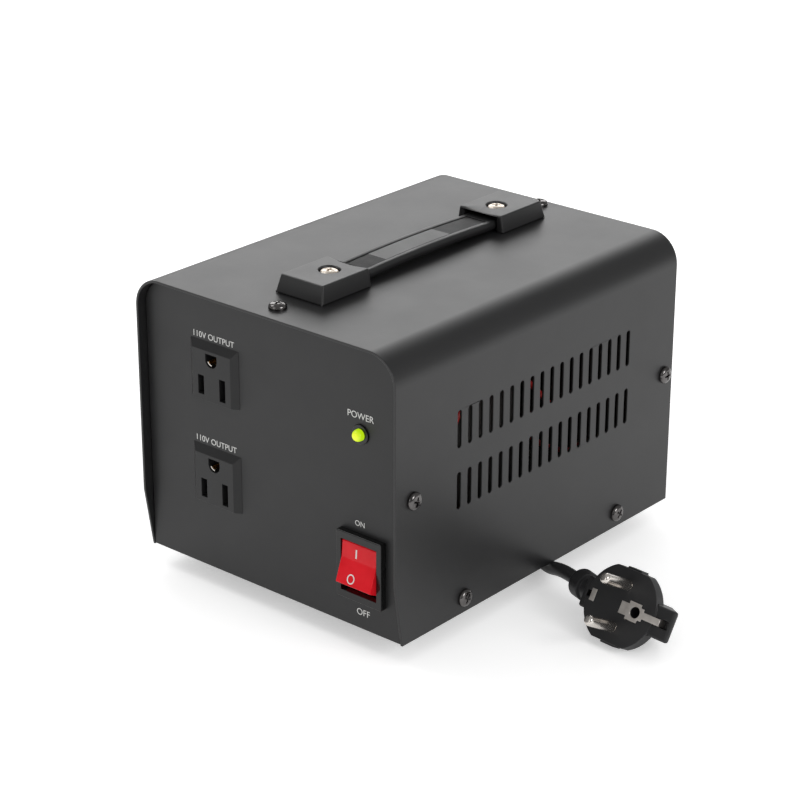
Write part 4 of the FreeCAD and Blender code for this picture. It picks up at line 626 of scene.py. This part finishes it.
def makeScrewPattern():
    turned = turnedMesh("screwTurned", screwShape["profile"], screwShape["sides"])
    head = linkObject(bpy.data.objects.new("screwBlank", turned))
    cross = linkObject(bpy.data.objects.new("screwCross", crossMesh("screwCross")))
    cut = head.modifiers.new("recess", "BOOLEAN")
    cut.object = cross
    cut.solver = "EXACT"
    cut.use_self = True
    screw = baked(head, "screwPattern")
    bpy.data.objects.remove(cross)
    screw.data.shade_smooth()
    screw.data.set_sharp_from_angle(angle=math.radians(screwShape["sharp"]))
    return screw


def settingTree(name):
    # instances a piece on every point, turned to the point's own facing and twist
    tree = bpy.data.node_groups.new(name, "GeometryNodeTree")
    tree.is_modifier = True
    kinds = {"Points": "Geometry", "Piece": "Object", "Size": "Float", "Finish": "Material"}
    sockets = {}
    for label, kind in kinds.items():
        sockets[label] = tree.interface.new_socket(label, in_out="INPUT", socket_type="NodeSocket" + kind)
    tree.interface.new_socket("Set pieces", in_out="OUTPUT", socket_type="NodeSocketGeometry")
    given = tree.nodes.new("NodeGroupInput")
    facing = tree.nodes.new("GeometryNodeInputNamedAttribute")
    facing.data_type = "FLOAT_VECTOR"
    facing.inputs["Name"].default_value = "facing"
    twist = tree.nodes.new("GeometryNodeInputNamedAttribute")
    twist.data_type = "FLOAT"
    twist.inputs["Name"].default_value = "twist"
    aim = tree.nodes.new("FunctionNodeAlignRotationToVector")
    aim.axis = "Z"
    spin = tree.nodes.new("FunctionNodeAxisAngleToRotation")
    spin.inputs["Axis"].default_value = (0, 0, 1)
    both = tree.nodes.new("FunctionNodeRotateRotation")
    both.rotation_space = "LOCAL"
    info = tree.nodes.new("GeometryNodeObjectInfo")
    setOn = tree.nodes.new("GeometryNodeInstanceOnPoints")
    real = tree.nodes.new("GeometryNodeRealizeInstances")
    paint = tree.nodes.new("GeometryNodeSetMaterial")
    result = tree.nodes.new("NodeGroupOutput")
    link = tree.links.new
    link(facing.outputs["Attribute"], aim.inputs["Vector"])
    link(twist.outputs["Attribute"], spin.inputs["Angle"])
    link(aim.outputs["Rotation"], both.inputs["Rotation"])
    link(spin.outputs["Rotation"], both.inputs["Rotate By"])
    link(given.outputs["Piece"], info.inputs["Object"])
    link(given.outputs["Points"], setOn.inputs["Points"])
    link(info.outputs["Geometry"], setOn.inputs["Instance"])
    link(both.outputs["Rotation"], setOn.inputs["Rotation"])
    link(given.outputs["Size"], setOn.inputs["Scale"])
    link(setOn.outputs["Instances"], real.inputs["Geometry"])
    link(real.outputs["Geometry"], paint.inputs["Geometry"])
    link(given.outputs["Finish"], paint.inputs["Material"])
    link(paint.outputs["Geometry"], result.inputs["Set pieces"])
    return tree, {label: socket.identifier for label, socket in sockets.items()}


setTree, setInputs = settingTree("setPieces")


def setPieces(name, places, piece, size, finish):
    # places: (point, facing, twist in degrees)
    mesh = bpy.data.meshes.new(name)
    mesh.from_pydata([place[0] for place in places], [], [])
    facing = mesh.attributes.new("facing", "FLOAT_VECTOR", "POINT")
    facing.data.foreach_set("vector", [c for place in places for c in place[1]])
    twist = mesh.attributes.new("twist", "FLOAT", "POINT")
    twist.data.foreach_set("value", [math.radians(place[2]) for place in places])
    base = linkObject(bpy.data.objects.new(name + "Points", mesh))
    setter = base.modifiers.new("set", "NODES")
    setter.node_group = setTree
    setter[setInputs["Piece"]] = piece
    setter[setInputs["Size"]] = size
    setter[setInputs["Finish"]] = finishes[finish]
    done = baked(base, name)
    for label in ("facing", "twist"):
        if label in done.data.attributes:
            done.data.attributes.remove(done.data.attributes[label])
    return done


screws = {
    "wallX": 0.0745,
    "endY": 0.0892,
    "endZ": 0.0754,
    "lowY": 0.0552,
    "lowZ": 0.0174,
    "topZ": 0.1413,
    "handleY": 0.057,
    "handleZ": 0.1469,
    "twists": (20, 65, -15, 40, 75, 5, -30, 52, 12, 48),
    "handleTwists": (15, 35),
    "handleSize": 1.05,
}


def casePlaces():
    spots = []
    for s in (-1, 1):
        for y in (-screws["endY"], screws["endY"]):
            spots.append(((s * screws["wallX"], y, screws["endZ"]), (s, 0, 0)))
        for y in (-screws["lowY"], screws["lowY"]):
            spots.append(((s * screws["wallX"], y, screws["lowZ"]), (s, 0, 0)))
    for y in (-screws["endY"], screws["endY"]):
        spots.append(((0, y, screws["topZ"]), (0, 0, 1)))
    return [(point, facing, twist) for (point, facing), twist in zip(spots, screws["twists"])]


screwPattern = makeScrewPattern()
caseScrews = setPieces("caseScrews", casePlaces(), screwPattern, 1.0, "darkNickel")
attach(caseScrews, "case")
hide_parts("side_screws", "top_screws")
handlePlaces = [((0, s * screws["handleY"], screws["handleZ"]), (0, 0, 1), twist)
                for s, twist in zip((-1, 1), screws["handleTwists"])]
handleScrews = setPieces("handleScrews", handlePlaces, screwPattern, screws["handleSize"], "satinNickel")
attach(handleScrews, "case")
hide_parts("handle_screws")
bpy.data.objects.remove(screwPattern)
print("screws set")


# outlets: the bright spring lip that shows low in each earth hole
earthLip = {
    "x": -0.0315,
    "faceY": -0.0982,
    "heights": (0.06235, 0.11155),
    "arc": (205, 268),
    "steps": 12,
    "thick": 0.0005,
    "line": [(-0.0056, 0.0031), (-0.0015, 0.0031), (-0.0008, 0.0030), (-0.0005, 0.0027)],
    "sharp": 40,
}


def makeLipPattern():
    # a curled strip: (depth under the face, outer radius) along it, swept over the arc
    shape = bmesh.new()
    low, high = earthLip["arc"]
    rows = []
    for k in range(earthLip["steps"] + 1):
        a = math.radians(low + (high - low) * k / earthLip["steps"])
        outside = [(r, z) for z, r in earthLip["line"]]
        inside = [(r - earthLip["thick"], z) for r, z in outside[::-1]]
        rows.append([shape.verts.new((r * math.cos(a), r * math.sin(a), z)) for r, z in outside + inside])
    count = len(rows[0])
    for near, far in zip(rows, rows[1:]):
        for k in range(count):
            n = (k + 1) % count
            shape.faces.new((near[k], near[n], far[n], far[k]))
    shape.faces.new(rows[0])
    shape.faces.new(rows[-1][::-1])
    bmesh.ops.recalc_face_normals(shape, faces=shape.faces)
    mesh = bpy.data.meshes.new("lipPattern")
    shape.to_mesh(mesh)
    shape.free()
    mesh.shade_smooth()
    mesh.set_sharp_from_angle(angle=math.radians(earthLip["sharp"]))
    return linkObject(bpy.data.objects.new("lipPattern", mesh))


lipPattern = makeLipPattern()
lipPlaces = [((earthLip["x"], earthLip["faceY"], z), (0, -1, 0), 0) for z in earthLip["heights"]]
earthLips = setPieces("earthLips", lipPlaces, lipPattern, 1.0, "brightNickel")
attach(earthLips, "case")
bpy.data.objects.remove(lipPattern)
print("lips set")


# handle strap: one moulded section drawn along the handle, cut where its rigid pieces are
strap = {
    "halfWidth": 0.00885,
    "thick": 0.00435,
    "railWidth": 0.0030,
    "railSteps": (0.0009, 0.0006, 0.0005, 0.0002, 0.0001, -0.0002),
    "edgeRound": 0.62,
    "edgeSteps": 8,
    "sunk": 0.0003,
    "groove": 0.0003,
    "lip": 0.0001,
    "endZ": 0.1444,
    "rise": 0.0009,
    "hingeOut": 0.041,
    "hingeIn": 0.013001,
    "bends": (0.003, 0.007),
    "reach": 0.0498,
    "cut": 0.027,
    "patchEnds": (-0.0262, 0.0170),
    "patchDeep": 0.0001,
    "patchEdge": 0.00005,
    "ringStep": 0.001,
    "sharp": 38,
}


def onPatch(y):
    return not strap["patchEnds"][0] <= y <= strap["patchEnds"][1]


def strapSection(y):
    # closed outline across the strap at that distance along it: (x, height above the middle)
    w, t = strap["halfWidth"], strap["thick"] / 2
    rail = w - strap["railWidth"]
    floor = t - strap["sunk"]
    deep = floor - strap["groove"]
    patch = floor
    if onPatch(y):
        patch = floor - strap["patchDeep"]
    side = []
    edge = t * strap["edgeRound"]
    for k in range(strap["edgeSteps"] + 1):
        a = math.pi * k / strap["edgeSteps"]
        side.append((w - edge + edge * math.sin(a), t * math.cos(a)))
    heights = (patch, patch, deep, deep, floor + strap["lip"], t)
    inner = [(rail - step, height) for step, height in zip(strap["railSteps"], heights)]
    upper = inner + side
    return upper + [(-x, z) for x, z in upper[::-1]]


def strapHeight(y):
    share = min(abs(y) / strap["hingeOut"], 1)
    return strap["endZ"] + strap["rise"] * (1 - share * share)


def strapPiece(name, low, high, firstBody, secondBody, start, end, *replaced):
    # rings about a millimetre apart, and two close ones at each end of a rough patch
    steps = round((high - low) / strap["ringStep"])
    places = {low, high}
    places.update(low + (high - low) * k / steps for k in range(1, steps))
    for edge in strap["patchEnds"]:
        for off in (-strap["patchEdge"], strap["patchEdge"]):
            if low < edge + off < high:
                places.add(edge + off)
    shape = bmesh.new()
    rings = []
    for y in sorted(places):
        z = strapHeight(y)
        rings.append([shape.verts.new((px, y, z + pz)) for px, pz in strapSection(y)])
    count = len(rings[0])
    for near, far in zip(rings, rings[1:]):
        rough = onPatch(near[0].co.y) and onPatch(far[0].co.y)
        for k in range(count):
            n = (k + 1) % count
            face = shape.faces.new((near[k], near[n], far[n], far[k]))
            face.material_index = int(rough and k in (0, count - 2, count - 1))
    shape.faces.new(rings[0][::-1])
    shape.faces.new(rings[-1])
    bmesh.ops.recalc_face_normals(shape, faces=shape.faces)
    mesh = bpy.data.meshes.new(name)
    shape.to_mesh(mesh)
    shape.free()
    mesh.shade_smooth()
    mesh.set_sharp_from_angle(angle=math.radians(strap["sharp"]))
    mesh.materials.append(finishes["strapVinyl"])
    mesh.materials.append(finishes["strapPatch"])
    piece = linkObject(bpy.data.objects.new(name, mesh))
    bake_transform(piece)
    if replaced:
        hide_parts(*replaced)


outer, inner = strap["hingeOut"], strap["hingeIn"]
outerBend, innerBend = strap["bends"]
strapPiece("strapFrontEnd", -strap["reach"], -strap["cut"], "strap_end_front", "strap_arm_front",
           -outer - outerBend, -outer + outerBend, "strap_arm_front")
strapPiece("strapFrontHalf", -strap["cut"], 0.0, "strap_arm_front", "strap_middle",
           -inner - innerBend, -inner + innerBend, "strap_middle")
strapPiece("strapRearHalf", 0.0, strap["cut"], "strap_middle", "strap_arm_rear",
           inner - innerBend, inner + innerBend)
strapPiece("strapRearEnd", strap["cut"], strap["reach"], "strap_arm_rear", "strap_end_rear",
           outer - outerBend, outer + outerBend, "strap_arm_rear")
print("strap drawn")


# printed marks on the front panel, and the two moulded marks of the rocker
panelFace = -0.0957
ink = {"size": 0.0036, "thinner": 0.00001, "thick": 0.00003, "lift": 0.00004}
# name, words, middle across and up the panel, width
marks = [
    ("upperOutletMark", "110V OUTPUT", (-0.0322, 0.1209), 0.0241),
    ("lowerOutletMark", "110V OUTPUT", (-0.0322, 0.0719), 0.0241),
    ("lampMark", "POWER", (0.0516, 0.1086), 0.0142),
    ("onMark", "ON", (0.0511, 0.0596), 0.0052),
    ("offMark", "OFF", (0.0528, 0.0184), 0.0072),
]


def inkFlat(piece, turn, place, name):
    # a text or flat curve as a mesh, with its place applied to the mesh
    flat = baked(piece, name)
    flat.data.transform(Matrix.Translation(place) @ turn)
    return flat


def printMark(name, words, spot, width):
    text = bpy.data.curves.new(name, "FONT")
    text.body = words
    text.align_x = "CENTER"
    text.align_y = "CENTER"
    text.size = ink["size"]
    text.offset = -ink["thinner"]
    text.extrude = ink["thick"]
    piece = linkObject(bpy.data.objects.new(name, text))
    bpy.context.view_layer.update()
    text.size *= width / piece.dimensions.x
    flat = inkFlat(piece, Matrix.Rotation(math.pi / 2, 4, "X"),
                   Vector((spot[0], panelFace - ink["lift"], spot[1])), name)
    flat.data.materials.clear()
    flat.data.materials.append(finishes["markWhite"])
    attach(flat, "case")


for mark in marks:
    printMark(*mark)

rocker = {
    "x": 0.0529,
    "z": 0.040,
    "in": 0.004,
    "tip": (0.0090, 0.0093),
    "fold": (0.0078, 0.0020),
    "swing": 14.0,
    "markFoot": 0.0001,
    "markLift": 0.00008,
}
rockerMarks = {
    "barSpot": (0.0515, 0.0468),
    "barHalf": (0.00038, 0.0020),
    "ringSpot": (0.0510, 0.0361),
    "ringOuter": (0.0020, 0.00215),
    "ringInner": (0.0015, 0.00165),
    "ringSides": 40,
}


def rockerFacet(side):
    # the fold and the directions of a facet at rest: side is 1 for the upper facet and -1 for the lower one
    a = math.radians(rocker["swing"])

    def turned(out, up):
        y = -out * math.cos(a) + up * math.sin(a)
        z = out * math.sin(a) + up * math.cos(a)
        return Vector((rocker["x"], panelFace + rocker["in"] + y, rocker["z"] + z))

    fold, tip = turned(*rocker["fold"]), turned(rocker["tip"][0], rocker["tip"][1] * side)
    up = (tip - fold).normalized() * side
    return fold, up, Vector((1, 0, 0)).cross(up).normalized()


def mouldMark(name, side, spot, outline, hole=None):
    # a thin raised plate on a facet, from an outline in (across, up) metres, with an optional hole
    fold, up, out = rockerFacet(side)
    middle = fold + up * ((spot[1] - fold.z) / up.z)
    middle.x = spot[0]
    shape = bmesh.new()

    def corner(point, lift):
        return shape.verts.new(middle + Vector((1, 0, 0)) * point[0] + up * point[1] + out * lift)

    low = [corner(p, -rocker["markFoot"]) for p in outline]
    high = [corner(p, rocker["markLift"]) for p in outline]
    count = len(outline)
    if hole is None:
        shape.faces.new(high)
        shape.faces.new(low[::-1])
    else:
        holeLow = [corner(p, -rocker["markFoot"]) for p in hole]
        holeHigh = [corner(p, rocker["markLift"]) for p in hole]
        for k in range(count):
            n = (k + 1) % count
            shape.faces.new((high[k], high[n], holeHigh[n], holeHigh[k]))
            shape.faces.new((low[n], low[k], holeLow[k], holeLow[n]))
            shape.faces.new((holeLow[n], holeLow[k], holeHigh[k], holeHigh[n]))
    for k in range(count):
        n = (k + 1) % count
        shape.faces.new((low[k], low[n], high[n], high[k]))
    bmesh.ops.recalc_face_normals(shape, faces=shape.faces)
    mesh = bpy.data.meshes.new(name)
    shape.to_mesh(mesh)
    shape.free()
    mesh.materials.append(finishes["markWhite"])
    piece = linkObject(bpy.data.objects.new(name, mesh))
    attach(piece, "switch_rocker")


def barOutline(wide, tall):
    return [(-wide, -tall), (wide, -tall), (wide, tall), (-wide, tall)]


def ringOutline(wide, tall):
    sides = rockerMarks["ringSides"]
    return [(wide * math.cos(math.tau * k / sides), tall * math.sin(math.tau * k / sides))
            for k in range(sides)]


mouldMark("barMark", 1, rockerMarks["barSpot"], barOutline(*rockerMarks["barHalf"]))
mouldMark("ringMark", -1, rockerMarks["ringSpot"], ringOutline(*rockerMarks["ringOuter"]),
          ringOutline(*rockerMarks["ringInner"]))
print("marks made")
